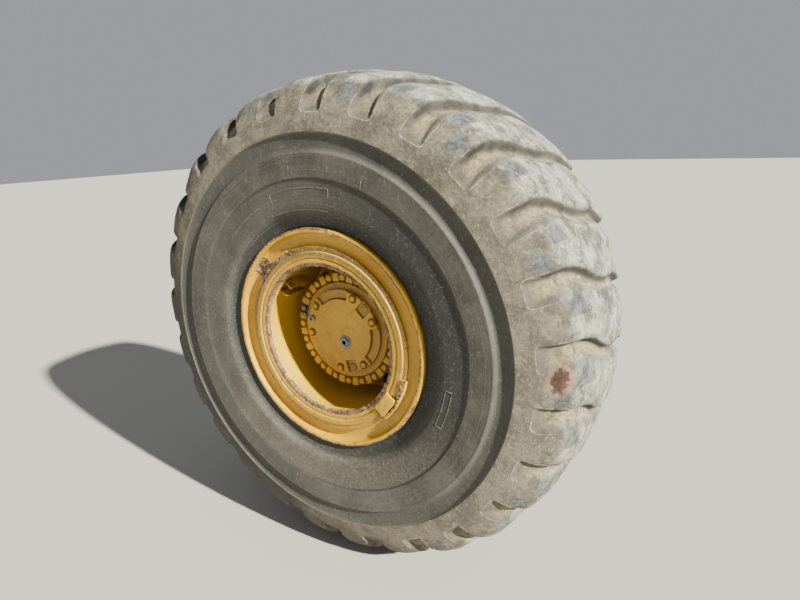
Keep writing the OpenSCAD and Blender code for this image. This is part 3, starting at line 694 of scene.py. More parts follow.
def block(size, place=(0, 0, 0), bevel=0.003, segments=3):
    """A cube with rounded edges."""
    pick()
    bpy.ops.mesh.primitive_cube_add(size=1, location=place)
    bpy.context.object.scale = size
    settle()
    bpy.ops.object.mode_set(mode="EDIT")
    bpy.ops.mesh.bevel(offset=bevel, segments=segments, affect="EDGES")
    bpy.ops.object.mode_set(mode="OBJECT")
    return bpy.context.object

def disc(sides, radius, low, high, bevel=0.001, segments=2, top=None):
    """An upright prism or cone between two heights, with its top edges bevelled."""
    pick()
    bpy.ops.mesh.primitive_cone_add(vertices=sides, radius1=radius, radius2=top or radius,
                                    depth=high - low, location=(0, 0, (low + high) / 2))
    settle()
    piece = bpy.context.object
    bpy.ops.object.mode_set(mode="EDIT")
    bpy.ops.mesh.select_all(action="DESELECT")
    bpy.ops.object.mode_set(mode="OBJECT")
    for face in piece.data.polygons:
        face.select = face.normal.z > 0.9
    bpy.ops.object.mode_set(mode="EDIT")
    bpy.ops.mesh.bevel(offset=bevel, segments=segments, affect="EDGES")
    bpy.ops.object.mode_set(mode="OBJECT")
    return piece

def store_wear(piece, base=0.05, gain=0.5, dirt_and_shade=0.0):
    """Stores how far each vertex stands out, as wear. Dirt and painted shade go where it lies in a corner.
    """
    mesh = piece.data
    co, ends = numbers(mesh.vertices, "co", 3), numbers(mesh.edges, "vertices", 2, int)
    normals = numbers(mesh.vertex_normals, "vector", 3)
    stands, count = np.zeros(len(co)), np.zeros(len(co))
    for a, b in ((0, 1), (1, 0)):
        along = co[ends[:, b]] - co[ends[:, a]]
        along /= np.maximum(np.linalg.norm(along, axis=1), 1e-9)[:, None]
        np.add.at(stands, ends[:, a], -np.sum(normals[ends[:, a]] * along, axis=1))
        np.add.at(count, ends[:, a], 1)
    stands /= np.maximum(count, 1)
    keep_value(piece, "wear", base + gain * np.clip(stands, 0, 0.5))
    # Corners are darkened with dirt and painted shade
    keep_value(piece, "grime_and_shade", np.clip(dirt_and_shade - 3.0 * stands, 0, 1))

def roughened(piece, size, scale, seed=0):
    """Moves each vertex along its normal by noise, as in a sand casting."""
    mesh = piece.data
    for vertex, normal in zip(mesh.vertices, [n.vector.copy() for n in mesh.vertex_normals]):
        place = vertex.co * scale + Vector((seed, 2 * seed, 3 * seed))
        vertex.co += normal * size * noise.noise(place)
    mesh.update()

def dress(piece, node, smooth, wear, gain, dirt_and_shade=0.0, body="wheel"):
    """Softens a piece's shading, stores its wear and puts it in its node's place."""
    soften(piece, smooth)
    store_wear(piece, wear, gain, dirt_and_shade)
    return stand_for(piece, node, body)

# %% [markdown]
# The planet housing is bolted on with a ring of 20 bolts, and a cast pad stands between each pair. That
# gives the hub its castle-like edge. The ring is spun. A pad is a rounded block, sunk a little into it.

# %% Planet housing
JOINT_BOLTS, JOINT_CIRCLE = 20, 0.204
BOLT_FACE, HOUSING_FACE = 0.418, face_out("planet_housing")
HOUSING_R = outer_radius("planet_housing")
PAD_SIZE = (0.0275, 0.0325, 0.0165)
RING_EDGE, RING_TOP = HOUSING_R - 0.0004, HOUSING_FACE - 0.0002
housing_profile = rounded([(0.118, 0.400), (RING_EDGE, 0.400), (RING_EDGE, 0.412),
    (RING_EDGE, BOLT_FACE, 0.004), (0.205, BOLT_FACE), (0.188, BOLT_FACE, 0.003), (0.1865, 0.4230),
    (0.1840, HOUSING_FACE, 0.004), (0.170, RING_TOP), (0.118, RING_TOP)])
housing_ring = spun("housing_ring", housing_profile, 240)
roughened(housing_ring, 0.0006, 60)
pad = block(PAD_SIZE, (0, -0.0005, -0.0083), 0.0035, 3)
turns = np.random.default_rng(3)
pad_places = [at_clock((i + 0.5) * 360 / JOINT_BOLTS, JOINT_CIRCLE + 0.0005,
                       HOUSING_FACE - 0.0004 * (i % 3), turns.uniform(-0.03, 0.03))
              for i in range(JOINT_BOLTS)]
pads = copied_to("housing_pads", pad, pad_places)
roughened(pads, 0.0016, 90, 2)

def dirt_and_shade_below(piece, top, size=0.010):
    """Dirt and painted shade deep down: 1 at a distance below the top, 0 at the top."""
    return smooth_step((top - (corners(piece)[3] + MIDDLE)) / size)

def painted_shade_at_top_of(piece):
    """Painted shade at the hub's upper right: 1 there, and 0 low down."""
    return smooth_step((np.cos(np.radians(corners(piece)[2] - 20)) - 0.1) / 0.8)

# Dirt and painted shade: the deep parts, the inner face and the upper right are darker
housing_dirt_and_shade = 0.75 * dirt_and_shade_below(housing_ring, HOUSING_FACE) + 0.35 * (corners(housing_ring)[1] < 0.186)
housing_dirt_and_shade = housing_dirt_and_shade + 0.35 * painted_shade_at_top_of(housing_ring)
pad_dirt_and_shade = 0.90 * dirt_and_shade_below(pads, HOUSING_FACE) + 0.25 * painted_shade_at_top_of(pads)
for piece, dirt_and_shade in ((housing_ring, housing_dirt_and_shade), (pads, pad_dirt_and_shade)):
    dress(piece, "planet_housing", 40, 0.08, 0.4, dirt_and_shade)
print("housing:", len(housing_ring.data.polygons), "faces,", len(pads.data.polygons), "in pads")

# %% [markdown]
# A bolt is a hexagon head on its washer. It is modelled once, and each copy is turned by a random angle,
# because a fitter never leaves all flats in line.

# %% Housing bolts
BOLT_FLATS = 0.022

def bolt(across_flats):
    """A hexagon head on its washer, standing on the origin."""
    washer = disc(36, 0.57 * across_flats, 0.0001, 0.11 * across_flats, 0.0006)
    head = disc(6, across_flats / 2 / cos(pi / 6), 0.0002, 0.62 * across_flats, 0.0014)
    return joined("bolt_pattern", washer, head)

bolt_places = [at_clock(i * 360 / JOINT_BOLTS, JOINT_CIRCLE, BOLT_FACE, turns.uniform(0, 1.05))
               for i in range(JOINT_BOLTS)]
housing_bolts = copied_to("housing_bolt_heads", bolt(BOLT_FLATS), bolt_places)
# Dirt and painted shade low on the bolts and at the upper right
bolt_head_dirt_and_shade = 0.3 * painted_shade_at_top_of(housing_bolts) + dirt_and_shade_below(housing_bolts, BOLT_FACE + 0.0135)
dress(housing_bolts, "housing_bolts", 35, 0.14, 0.3, bolt_head_dirt_and_shade)
print("housing bolts:", len(housing_bolts.data.polygons), "faces")

# %% [markdown]
# The cover is one casting with three pairs of sunken bolts, three ledges along its edge and two notches.
# A fine polar net is spun flat and its vertices are pressed down where a hollow belongs, so that every
# edge comes out soft, as the sand mould leaves it.

# %% The cover as a net
COVER_R, COVER_FACE = outer_radius("hub_cover"), face_out("hub_cover")
COVER_CIRCLE, COUNTERBORE, LEDGE_DEEP = 0.146, 0.006, 0.009
PAIR_MIDDLES, PAIR_HALF, NOTCH_MIDDLES = (45, 165, 284), 22.5, (45, 165)
COVER_BACK = 0.4295
face_rows = [(0.0, COVER_FACE)] + [(r, COVER_FACE) for r in np.linspace(0.004, 0.1550, 76)]
side_rows = [(COVER_R, COVER_FACE, 0.006)] + [(COVER_R, out) for out in (0.4440, 0.4395, 0.4345, COVER_BACK)]
cover_profile = rounded(face_rows + side_rows + [(0.10, COVER_BACK), (0.0, COVER_BACK)], 4)
cover = spun("hub_cover_casting", cover_profile, 360)
print("cover as a net:", len(cover.data.vertices), "vertices")

# %% The cover's hollows
BORE_R, LIP_R, LEDGE_HALF, LEDGE_R = 0.0175, 0.0195, 27.8, 0.1245
NOTCH_HALF, NOTCH_FOOT = 0.0240, 0.1110
BLOCK_HALF, BLOCK_FOOT, BLOCK_TOP = 0.0125, 0.1270, 0.1560
co, radius, clock, depth = corners(cover)
out = depth + MIDDLE
down, bolt_ring_dirt_and_shade = np.zeros(len(co)), np.zeros(len(co))

# A raised lip runs round each sunken bolt, and a ledge lies between one pair and the next. Each bolt's ring
# is darkened with dirt and painted shade
for middle in PAIR_MIDDLES:
    for bolt_clock in (middle - PAIR_HALF, middle + PAIR_HALF):
        bolt_x, bolt_z = COVER_CIRCLE * sin(radians(bolt_clock)), COVER_CIRCLE * cos(radians(bolt_clock))
        away = np.hypot(co[:, 0] - bolt_x, co[:, 2] - bolt_z)
        lip = 0.0014 * hump(away, LIP_R, 0.0030)
        bolt_ring_dirt_and_shade = np.maximum(bolt_ring_dirt_and_shade, smooth_step((0.0212 - away) / 0.0045))
        down = np.maximum(down, COUNTERBORE * smooth_step((BORE_R - away) / 0.0030)) - lip * (down < 0.001)
    ledge_mid = middle + 60
    off = np.abs((clock - ledge_mid + 180) % 360 - 180)
    ledge = smooth_step((LEDGE_HALF - off) / 2.4) * smooth_step((radius - LEDGE_R) / 0.0040)
    down = np.maximum(down, LEDGE_DEEP * ledge)

# A notch has a small raised block in its middle
for middle in NOTCH_MIDDLES:
    along = co[:, 0] * cos(radians(middle)) - co[:, 2] * sin(radians(middle))
    up = co[:, 0] * sin(radians(middle)) + co[:, 2] * cos(radians(middle))
    notch = smooth_step((NOTCH_HALF - np.abs(along)) / 0.0030) * smooth_step((up - NOTCH_FOOT) / 0.0035)
    raised = smooth_step((BLOCK_HALF - np.abs(along)) / 0.0030) * smooth_step((up - BLOCK_FOOT) / 0.0035)
    raised = raised * smooth_step((BLOCK_TOP - up) / 0.0035)
    down = np.maximum(down, notch * LEDGE_DEEP) - 0.005 * notch * raised

# The side and the back stay where they are, and the front gets the sand mould's skin
in_front = out > COVER_BACK + 0.0001
height = np.where(in_front, np.minimum(out, COVER_FACE - down), out)
swell = 0.0005 * rough(co, 30, 1) + 0.0003 * rough(co, 90, 2)
height = np.where(in_front, np.clip(height + swell - 0.0006, COVER_BACK + 0.0002, COVER_FACE), height)
put_corners(cover, radius, clock, height - MIDDLE)
# Dirt and painted shade in the counterbores and round the bolts
cover_dirt_and_shade = smooth_step(down / COUNTERBORE) * (1.0 - 0.65 * smooth_step((down - COUNTERBORE) / 0.003))
cover_dirt_and_shade = np.maximum(cover_dirt_and_shade, 0.95 * bolt_ring_dirt_and_shade)
dress(cover, "hub_cover", 50, 0.02, 0.8, cover_dirt_and_shade)
print("cover: the lowest hollow is", round(float(down.max()) * 1000, 1), "mm deep")

# %% Cover bolts
COVER_BOLT_FLATS = 0.019
cover_bolt_places = [at_clock(middle + side * PAIR_HALF, COVER_CIRCLE, COVER_FACE - COUNTERBORE - 0.0006,
                              turns.uniform(0, 1.05)) for middle in PAIR_MIDDLES for side in (-1, 1)]
cover_bolts = copied_to("cover_bolt_heads", bolt(COVER_BOLT_FLATS), cover_bolt_places)
# Dirt and painted shade low on the bolts
bolt_head_dirt_and_shade = 0.9 * dirt_and_shade_below(cover_bolts, COVER_FACE + 0.005)
dress(cover_bolts, "cover_bolts", 35, 0.12, 0.3, bolt_head_dirt_and_shade)
print("cover bolts:", len(cover_bolts.data.polygons), "faces")

# %% [markdown]
# Two plugs close the hub: the drain and fill plug near the middle, which is round with a stepped head
# and a hexagon socket, and a smaller level plug near the edge. A socket is cut by a boolean with a
# six-sided bar, which leaves a crisp hole, as a broach does.

# %% Plugs
MIDDLE_PLUG_AT, LEVEL_PLUG_AT, PLUG_FACE = (164, 0.040), (284, 0.142), COVER_FACE - 0.0005
MIDDLE_SOCKET, LEVEL_SOCKET = 0.0166, 0.013

def socketed(body, across_flats, depth, top):
    """Cuts a hexagon socket into the top of a plug."""
    pick()
    bpy.ops.mesh.primitive_cylinder_add(vertices=6, radius=across_flats / 2 / cos(pi / 6), depth=2 * depth,
                                        location=(0, 0, top))
    broach = bpy.context.object
    settle()
    pick(body)
    cut = body.modifiers.new("socket", "BOOLEAN")
    cut.object, cut.operation, cut.solver = broach, "DIFFERENCE", "EXACT"
    bpy.ops.object.modifier_apply(modifier=cut.name)
    pick(broach)
    bpy.ops.object.delete()
    return body

collar = disc(64, 0.026, 0.0002, 0.003, 0.0008, 2, 0.0245)
head = socketed(disc(48, 0.0182, 0.0026, 0.009, 0.0014, 3), MIDDLE_SOCKET, 0.006, 0.009)
middle_plug = copied_to("stepped_plug", joined("plug_pattern", collar, head),
                        [at_clock(*MIDDLE_PLUG_AT, PLUG_FACE)])
small_head = socketed(disc(40, 0.013, 0.0003, 0.0072, 0.0012, 3), LEVEL_SOCKET, 0.004, 0.0072)
level_plug = copied_to("small_plug", small_head, [at_clock(*LEVEL_PLUG_AT, PLUG_FACE)])
for plug, node in ((middle_plug, "middle_plug"), (level_plug, "level_plug")):
    dress(plug, node, 35, 0.0, 0.5)
print("plugs:", len(middle_plug.data.polygons), "and", len(level_plug.data.polygons), "faces")

# %% [markdown]
# Plainer pieces keep the frame's own shape, but a cast or flame-cut edge is never sharp. Such a node is
# duplicated, its loose triangles are merged and its flat faces joined, and a bevel rounds its edges. The
# copy then stands for the node. On the key and its stop, a little noise along the normals takes away
# the machined look.

# %% Rounded copies of the plainer nodes
def flat_joined(piece):
    """Merges a node's loose triangles and joins those that lie in one plane."""
    pick(piece)
    bpy.ops.object.mode_set(mode="EDIT")
    bpy.ops.mesh.select_all(action="SELECT")
    bpy.ops.mesh.remove_doubles(threshold=1e-5)
    bpy.ops.mesh.dissolve_limited(angle_limit=radians(0.6))
    bpy.ops.object.mode_set(mode="OBJECT")

def rounded_copy(node, name, width, wear, body="wheel", cuts=0, dents=0.0):
    """Copies a node, rounds its edges and lets the copy stand for it. Cuts make a net for dents."""
    pick(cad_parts[node])
    bpy.ops.object.duplicate()
    piece = bpy.context.object
    piece.name = piece.data.name = name
    for key in list(piece.keys()):
        del piece[key]
    flat_joined(piece)
    edges = piece.modifiers.new("edges", "BEVEL")
    edges.width, edges.segments, edges.limit_method = width, 2, "ANGLE"
    edges.angle_limit, edges.use_clamp_overlap = radians(32), False
    bpy.ops.object.modifier_apply(modifier=edges.name)
    if cuts:
        bpy.ops.object.mode_set(mode="EDIT")
        bpy.ops.mesh.select_all(action="SELECT")
        bpy.ops.mesh.quads_convert_to_tris()
        bpy.ops.mesh.subdivide(number_cuts=cuts)
        bpy.ops.object.mode_set(mode="OBJECT")
        roughened(piece, dents, 75, 3)
    return dress(piece, node, 40, wear, 0.4, body=body)

key_block = rounded_copy("driver_key", "key_block", 0.003, 0.12, cuts=7, dents=0.0012)
valve_guard = rounded_copy("valve_guard", "valve_guard_plates", 0.0012, 0.16)
disc_plate = rounded_copy("wheel_disc", "wheel_disc_plate", 0.002, 0.1)
hub_drum = rounded_copy("hub", "hub_casting", 0.002, 0.08)
for piece in (key_block, valve_guard, disc_plate, hub_drum):
    print(piece.name, len(piece.data.polygons), "faces", [round(v, 3) for v in piece.dimensions])

# %% [markdown]
# The key is held by a pad and a stop that were welded on the band. A weld is a row of overlapping drops,
# so its bead is spun from a small round profile, and its size then swells and shrinks along the way.

# %% Driver stop and its welds
stop_pads = rounded_copy("driver_stop", "stop_pads", 0.002, 0.24, cuts=5, dents=0.0016)

def weld_bead(name, radius, depth, start, sweep, size=0.0042, drop=0.85):
    """A run of weld along an arc. A drop's length is given in degrees."""
    round_about = np.linspace(0, 2 * pi, 11)[:-1]
    ring = [(radius + size * cos(a), MIDDLE + depth + size * sin(a)) for a in round_about]
    bead = spun(name, ring, max(8, int(abs(sweep) / drop * 6)), start, sweep)
    co, far, clock, out = corners(bead)
    swell = 0.78 + 0.30 * ((clock - start) / drop % 1) ** 0.7 + 0.22 * rough(co, 70, 5)
    wander = 0.0015 * rough(np.stack([clock, 0 * clock, 0 * clock], axis=1), 0.35, 6)
    put_corners(bead, radius + wander + (far - radius) * swell, clock, depth + (out - depth) * swell)
    soften(bead, 60)
    keep_value(bead, "wear", 0.03 + 0.14 * rough(co, 60, 7))
    return bead

# Name, radius, distance from the middle plane, clock angle, sweep, size, and a drop's length
WELDS = (("weld_pattern", 0.3450, 0.3535, 105, 15, 0.0060, 1.1),
         ("weld_low", 0.3250, 0.3535, 105.5, 11.5, 0.0036),
         ("weld_end", 0.3475, 0.3530, 121, 15, 0.0034),
         ("weld_far", 0.3440, 0.3530, 322, 14, 0.003))
welds = joined("driver_welds", *[weld_bead(*values) for values in WELDS])
stand_for(welds, "driver_stop")
print("welds:", len(welds.data.polygons), "faces")

# %% [markdown]
# Deep in the dish the wheel's nuts hold the disc to the hub, the valve stem stands behind its guard,
# and the seal closes the hub inboard. They are small and half hidden, so rounded copies are enough.

# %% Nuts, valve and seal
wheel_nuts = rounded_copy("wheel_nuts", "wheel_nut_ring", 0.0015, 0.3)
valve_stem = rounded_copy("valve_stem", "valve_body", 0.0008, 0.1)
seal_ring = rounded_copy("hub_seal", "seal_ring", 0.001, 0.25)
for piece in (wheel_nuts, valve_stem, seal_ring):
    print(piece.name, len(piece.data.polygons), "faces")

# %% [markdown]
# The mould has left thin frames on the sidewall, and stones have left some scratches. Each is a fine
# raised line: arcs are spun, and a line towards the axle is a slim block carried to its clock angle.

# %% Mould frames and scratches on the sidewall
# A frame has two clock angles and two radii. A scratch has one clock angle and two radii
FRAMES = ((341.0, 368.5, 0.468, 0.540), (315.5, 343.5, 0.445, 0.517), (99.4, 115.0, 0.495, 0.517))
SCRATCHES = ((353, 0.568, 0.615), (8.4, 0.565, 0.611), (21, 0.575, 0.602), (22, 0.685, 0.699),
             (107, 0.432, 0.558), (196, 0.590, 0.632), (243, 0.452, 0.470), (150, 0.470, 0.486),
             (62, 0.520, 0.555))
LINE_W, LINE_UP, SCRATCH_W = 0.0022, 0.0005, 0.0016

def wall_height(r):
    """How far outboard the sidewall's skin lies at a radius."""
    known = sorted((p[0], p[1]) for p in SIDEWALL)
    return float(np.interp(r, [k[0] for k in known], [k[1] for k in known]))

def line_round(r, start, end):
    """A line that runs round the sidewall at a radius, from one clock angle to another."""
    up = wall_height(r) - 0.0004
    profile = [(r - LINE_W / 2, up - 0.003), (r + LINE_W / 2, up - 0.003),
               (r + LINE_W / 3, up + LINE_UP), (r - LINE_W / 3, up + LINE_UP)]
    return spun("line", from_middle(profile), max(4, int((end - start) * 1.5)), start, end - start)

def line_outwards(clock_angle, low, high, wide=LINE_W, lean=0.0):
    """A line from one radius to another, sunk into the skin with both ends at its height."""
    line = block((wide, high - low, 0.004), (0, 0, 0), 0.0004, 1)
    slope = float(np.arctan2(wall_height(high) - wall_height(low), high - low))
    line.data.transform(Matrix.Rotation(lean, 4, "Z") @ Matrix.Rotation(slope, 4, "X"))
    out = MIDDLE + (wall_height(low) + wall_height(high)) / 2 - 0.0018
    line.data.transform(at_clock(clock_angle, (low + high) / 2, out))
    return line

lines = []
for start, end, low, high in FRAMES:
    lines += [line_round(radius, start, end) for radius in (low, high)]
    lines += [line_outwards(clock_angle, low, high) for clock_angle in (start, end)]
for i, (clock_angle, low, high) in enumerate(SCRATCHES):
    lines.append(line_outwards(clock_angle, low, high, SCRATCH_W, 0.12 * sin(7 * i)))
wall_lines = joined("sidewall_lines", *lines)
soften(wall_lines, 40)
stand_for(wall_lines, "tyre")
print("sidewall lines:", len(lines), "in one piece,", len(wall_lines.data.polygons), "faces")

# %% [markdown]
# The inboard side is what a fitter sees: the spindle's flange with its ring of holes, and the brake
# housing with its ribs and oil ports. They stay still while the wheel turns, so they ride on the other
# body. They are castings and forgings, so they get wider rounds.

# %% Spindle, brake housing and ports
spindle = rounded_copy("spindle", "spindle_forging", 0.0025, 0.1, "axle_end")
brake = rounded_copy("brake_housing", "brake_casting", 0.003, 0.14, "axle_end")
ports = rounded_copy("brake_ports", "brake_port_fittings", 0.001, 0.2, "axle_end")
for piece in (spindle, brake, ports):
    print(piece.name, len(piece.data.polygons), "faces")

# %% [markdown]
# Finishes are networks of shader nodes. A few small helpers keep them readable: one adds a node and
# joins its inputs, the others do one sum, one fade or one blend. Effects that several finishes share
# become node groups: where a point lies on the wheel, dust, cracks, chips, and tones of rust and paint.

# %% Helpers for finishes
def join(tree, socket, value):
    """Gives a socket a value, or a link from another socket."""
    if isinstance(value, bpy.types.NodeSocket):
        tree.links.new(value, socket)
    elif isinstance(value, tuple) and len(value) == 3 and socket.type == "RGBA":
        socket.default_value = (*value, 1)
    else:
        socket.default_value = value

def add(tree, kind, inputs, **settings):
    """Adds a node and gives its inputs their values or links."""
    made = tree.nodes.new("ShaderNode" + kind)
    for name, value in settings.items():
        setattr(made, name, value)
    for key, value in inputs.items():
        join(tree, made.inputs[key], value)
    return made

def calc(tree, operation, *values, clamp=False):
    """One sum in a Math node."""
    return add(tree, "Math", dict(enumerate(values)), operation=operation, use_clamp=clamp).outputs[0]

def plus(tree, first, second):
    return calc(tree, "ADD", first, second)

def minus(tree, first, second):
    return calc(tree, "SUBTRACT", first, second)

def times(tree, first, second):
    return calc(tree, "MULTIPLY", first, second)

def fade(tree, value, low, high):
    """Eases from 0 to 1 as the value goes from low to high, or back where low is the larger."""
    if low > high:
        return minus(tree, 1.0, fade(tree, value, high, low))
    span = {"Value": value, "From Min": low, "From Max": high}
    return add(tree, "MapRange", span, interpolation_type="SMOOTHSTEP").outputs[0]

def blend(tree, share, first, second):
    """Colour between two others, by a share from 0 to 1."""
    return add(tree, "Mix", {0: share, 6: first, 7: second}, data_type="RGBA").outputs[2]

def grain(tree, place, scale, detail=4.0, roughness=0.55, twist=0.0):
    """Noise from 0 to 1 with features of 1 / scale metres."""
    look = {"Scale": scale, "Detail": detail, "Roughness": roughness, "Distortion": twist}
    return add(tree, "TexNoise", {"Vector": place, **look}).outputs["Fac"]

def masked(tree, *masks):
    """All masks multiplied together."""
    product = masks[0]
    for mask in masks[1:]:
        product = times(tree, product, mask)
    return product

def band(tree, value, rise, fall):
    """1 inside a band of values. It rises between the first pair and falls between the second."""
    return times(tree, fade(tree, value, *rise), fade(tree, value, *fall))

def towards(tree, place, direction):
    """How far a point lies in a direction from the wheel's middle."""
    return add(tree, "VectorMath", {0: place, 1: direction}, operation="DOT_PRODUCT").outputs["Value"]

def stored(tree, name):
    """A number that the piece has stored on its vertices."""
    return add(tree, "Attribute", {}, attribute_name=name).outputs["Fac"]

def put(tree, group, **named):
    """Places a node group and gives its outputs."""
    made = tree.nodes.new("ShaderNodeGroup")
    made.node_tree = group
    for key, value in named.items():
        join(tree, made.inputs[key], value)
    return made.outputs

def new_group(name, inputs, outputs):
    """A node group with named sockets. Gives the group, its inputs and its outputs."""
    group = bpy.data.node_groups.new(name, "ShaderNodeTree")
    for socket, kind, value in inputs:
        made = group.interface.new_socket(socket, in_out="INPUT", socket_type="NodeSocket" + kind)
        made.default_value = value
    for socket, kind in outputs:
        group.interface.new_socket(socket, in_out="OUTPUT", socket_type="NodeSocket" + kind)
    return group, group.nodes.new("NodeGroupInput").outputs, group.nodes.new("NodeGroupOutput").inputs

def new_finish(name, **constants):
    """A material whose unchanging numbers are set on the shader itself."""
    finish = bpy.data.materials.new(name)
    finish.use_nodes = True
    shader = finish.node_tree.nodes["Principled BSDF"]
    for key, value in constants.items():
        shader.inputs[key].default_value = value
    return finish, finish.node_tree, shader.inputs

def coat(finish, *pieces):
    """Gives pieces one finish and no other."""
    for piece in pieces:
        while len(piece.data.materials) > 1:
            piece.data.materials.pop()
        if piece.data.materials:
            piece.material_slots[0].material = finish
        else:
            piece.data.materials.append(finish)

# %% [markdown]
# Most of the dirt on a wheel lies in rings or by the clock, so the first node group turns Object
# coordinates into a radius, a clock angle and a depth. It also gives an unrolled place, in which noise
# comes out as streaks that run round the wheel.

# %% Node group for a point's place on the wheel
wheel_place, _, out = new_group("wheel_place", [],
    [("Place", "Vector"), ("Radius", "Float"), ("Clock", "Float"), ("Depth", "Float"), ("Round", "Vector")])
here = add(wheel_place, "TexCoord", {}).outputs["Object"]
xyz = add(wheel_place, "SeparateXYZ", {0: here}).outputs
square_x, square_z = calc(wheel_place, "POWER", xyz[0], 2.0), calc(wheel_place, "POWER", xyz[2], 2.0)
from_axis = calc(wheel_place, "SQRT", plus(wheel_place, square_x, square_z))
clock_here = times(wheel_place, calc(wheel_place, "ARCTAN2", xyz[0], xyz[2]), 180 / pi)
depth_here = minus(wheel_place, times(wheel_place, xyz[1], -1.0), MIDDLE)
join(wheel_place, out["Place"], here)
join(wheel_place, out["Radius"], from_axis)
join(wheel_place, out["Clock"], clock_here)
join(wheel_place, out["Depth"], depth_here)
unrolled = {0: from_axis, 1: depth_here, 2: times(wheel_place, clock_here, 0.002)}
join(wheel_place, out["Round"], add(wheel_place, "CombineXYZ", unrolled).outputs[0])
print("place group:", [socket.name for socket in out if socket.name])

# %% [markdown]
# Dust is noise in two sizes, lifted by an amount. Cracks are the edges of a cell pattern, bent by noise
# and shown only in patches. Chips appear where noise and the piece's own wear add up to more than a
# limit, and a slightly lower limit gives the lifted border round them.

# %% Node groups for dust, cracks and chips
PLACE = ("Place", "Vector", (0, 0, 0))
dust_film, given, out = new_group("dust_film", [PLACE, ("Amount", "Float", 0.5)], [("Dust", "Float")])
clouds = times(dust_film, grain(dust_film, given["Place"], 5.0, 3.0), 0.5)
specks = times(dust_film, grain(dust_film, given["Place"], 55.0, 6.0, 0.7), 0.5)
lifted = plus(dust_film, plus(dust_film, clouds, specks), times(dust_film, given["Amount"], 0.6))
join(dust_film, out["Dust"], fade(dust_film, lifted, 0.55, 1.0))

crazing, given, out = new_group("crazing", [PLACE, ("Size", "Float", 60.0), ("Width", "Float", 0.06)],
    [("Cracks", "Float")])
wobble = add(crazing, "TexNoise", {"Vector": given["Place"], "Scale": 30.0}).outputs["Color"]
bent = add(crazing, "VectorMath", {0: given["Place"], 1: wobble}, operation="ADD").outputs[0]
cells = add(crazing, "TexVoronoi", {"Vector": bent, "Scale": given["Size"]}, feature="DISTANCE_TO_EDGE")
near_edge = calc(crazing, "DIVIDE", cells.outputs["Distance"], given["Width"], clamp=True)
in_patches = fade(crazing, grain(crazing, given["Place"], 22.0, 3.0), 0.50, 0.62)
join(crazing, out["Cracks"], times(crazing, minus(crazing, 1.0, near_edge), in_patches))

chipping, given, out = new_group("chipping", [PLACE, ("Wear", "Float", 0.2), ("Size", "Float", 60.0)],
    [("Bare", "Float"), ("Border", "Float")])
flakes = grain(chipping, given["Place"], given["Size"], 8.0, 0.62, 0.4)
large = grain(chipping, given["Place"], 9.0, 3.0)
worn = plus(chipping, plus(chipping, flakes, times(chipping, large, 0.35)), given["Wear"])
join(chipping, out["Bare"], fade(chipping, worn, 0.995, 1.02))
join(chipping, out["Border"], fade(chipping, worn, 0.93, 1.0))
print("groups:", [group.name for group in (dust_film, crazing, chipping)])

# %% Node groups for the tones of rust and paint
rust_tone, given, out = new_group("rust_tone", [PLACE], [("Colour", "Color")])
patches = fade(rust_tone, grain(rust_tone, given["Place"], 26.0, 5.0), 0.35, 0.65)
brown = blend(rust_tone, patches, (0.066, 0.030, 0.012), (0.20, 0.104, 0.042))
crumbs = fade(rust_tone, grain(rust_tone, given["Place"], 85.0, 5.0, 0.65), 0.53, 0.68)
join(rust_tone, out["Colour"], blend(rust_tone, crumbs, brown, (0.34, 0.235, 0.125)))

paint_tone, given, out = new_group("paint_tone", [PLACE], [("Colour", "Color")])
patches = fade(paint_tone, grain(paint_tone, given["Place"], 4.0, 4.0), 0.35, 0.65)
ochre = blend(paint_tone, patches, (0.44, 0.222, 0.003), (0.56, 0.312, 0.006))
stains = fade(paint_tone, grain(paint_tone, given["Place"], 34.0, 6.0, 0.65), 0.52, 0.80)
ochre = blend(paint_tone, stains, ochre, (0.22, 0.104, 0.006))
specks = fade(paint_tone, grain(paint_tone, given["Place"], 210.0, 3.0, 0.6), 0.60, 0.72)
specked = blend(paint_tone, times(paint_tone, specks, 0.5), ochre, (0.20, 0.10, 0.03))
join(paint_tone, out["Colour"], specked)
print("shared node groups:", [g.name for g in bpy.data.node_groups])

# %% [markdown]
# The tread is rubber under dust. The net already stores how far each point is from a groove's edge and
# how deep it has sunk, so the finish reads those: tan dust lies in the grooves and on the shoulder
# blocks, the tops are a mottled grey white, and the noses beside each groove are rubbed to a bluish
# grey. A thin pale line runs along each pocket's foot, as on the real mould's edge, partly as a painted
# highlight. Dirt and painted shade darken the pocket edges and the steep walls, and a painted shadow
# lies under each overhang.

# %% Tread rubber: dust and its grain
tread_rubber, tree, shader = new_finish("tread_rubber")
at = put(tree, wheel_place)
edge_near, sunk_share, tone_here = (stored(tree, name) for name in ("pocket_edge", "sunk", "lug_tone"))
nose_here, torn_here = stored(tree, "nose"), stored(tree, "torn")
across_tyre = calc(tree, "ABSOLUTE", at["Depth"])
on_top = fade(tree, across_tyre, 0.325, 0.285)

# Tan dust with fine specks on the buttress, grey white and as finely mottled on the tops
mottle = grain(tree, at["Place"], 85.0, 9.0, 0.78)
clouded = grain(tree, at["Place"], 13.0, 5.0, 0.6, 0.3)
tan = blend(tree, fade(tree, clouded, 0.34, 0.66), (0.072, 0.061, 0.042), (0.166, 0.140, 0.097))
grey = blend(tree, fade(tree, clouded, 0.34, 0.66), (0.120, 0.117, 0.102), (0.325, 0.315, 0.268))
colour = blend(tree, on_top, tan, grey)
pale = masked(tree, fade(tree, mottle, 0.50, 0.66), plus(tree, 0.27, times(tree, on_top, 0.58)))
colour = blend(tree, pale, colour, (0.50, 0.472, 0.385))
pitted = masked(tree, fade(tree, mottle, 0.49, 0.36), 0.70)
colour = blend(tree, pitted, colour, (0.050, 0.046, 0.038))
print("dust:", len(tree.nodes), "nodes")

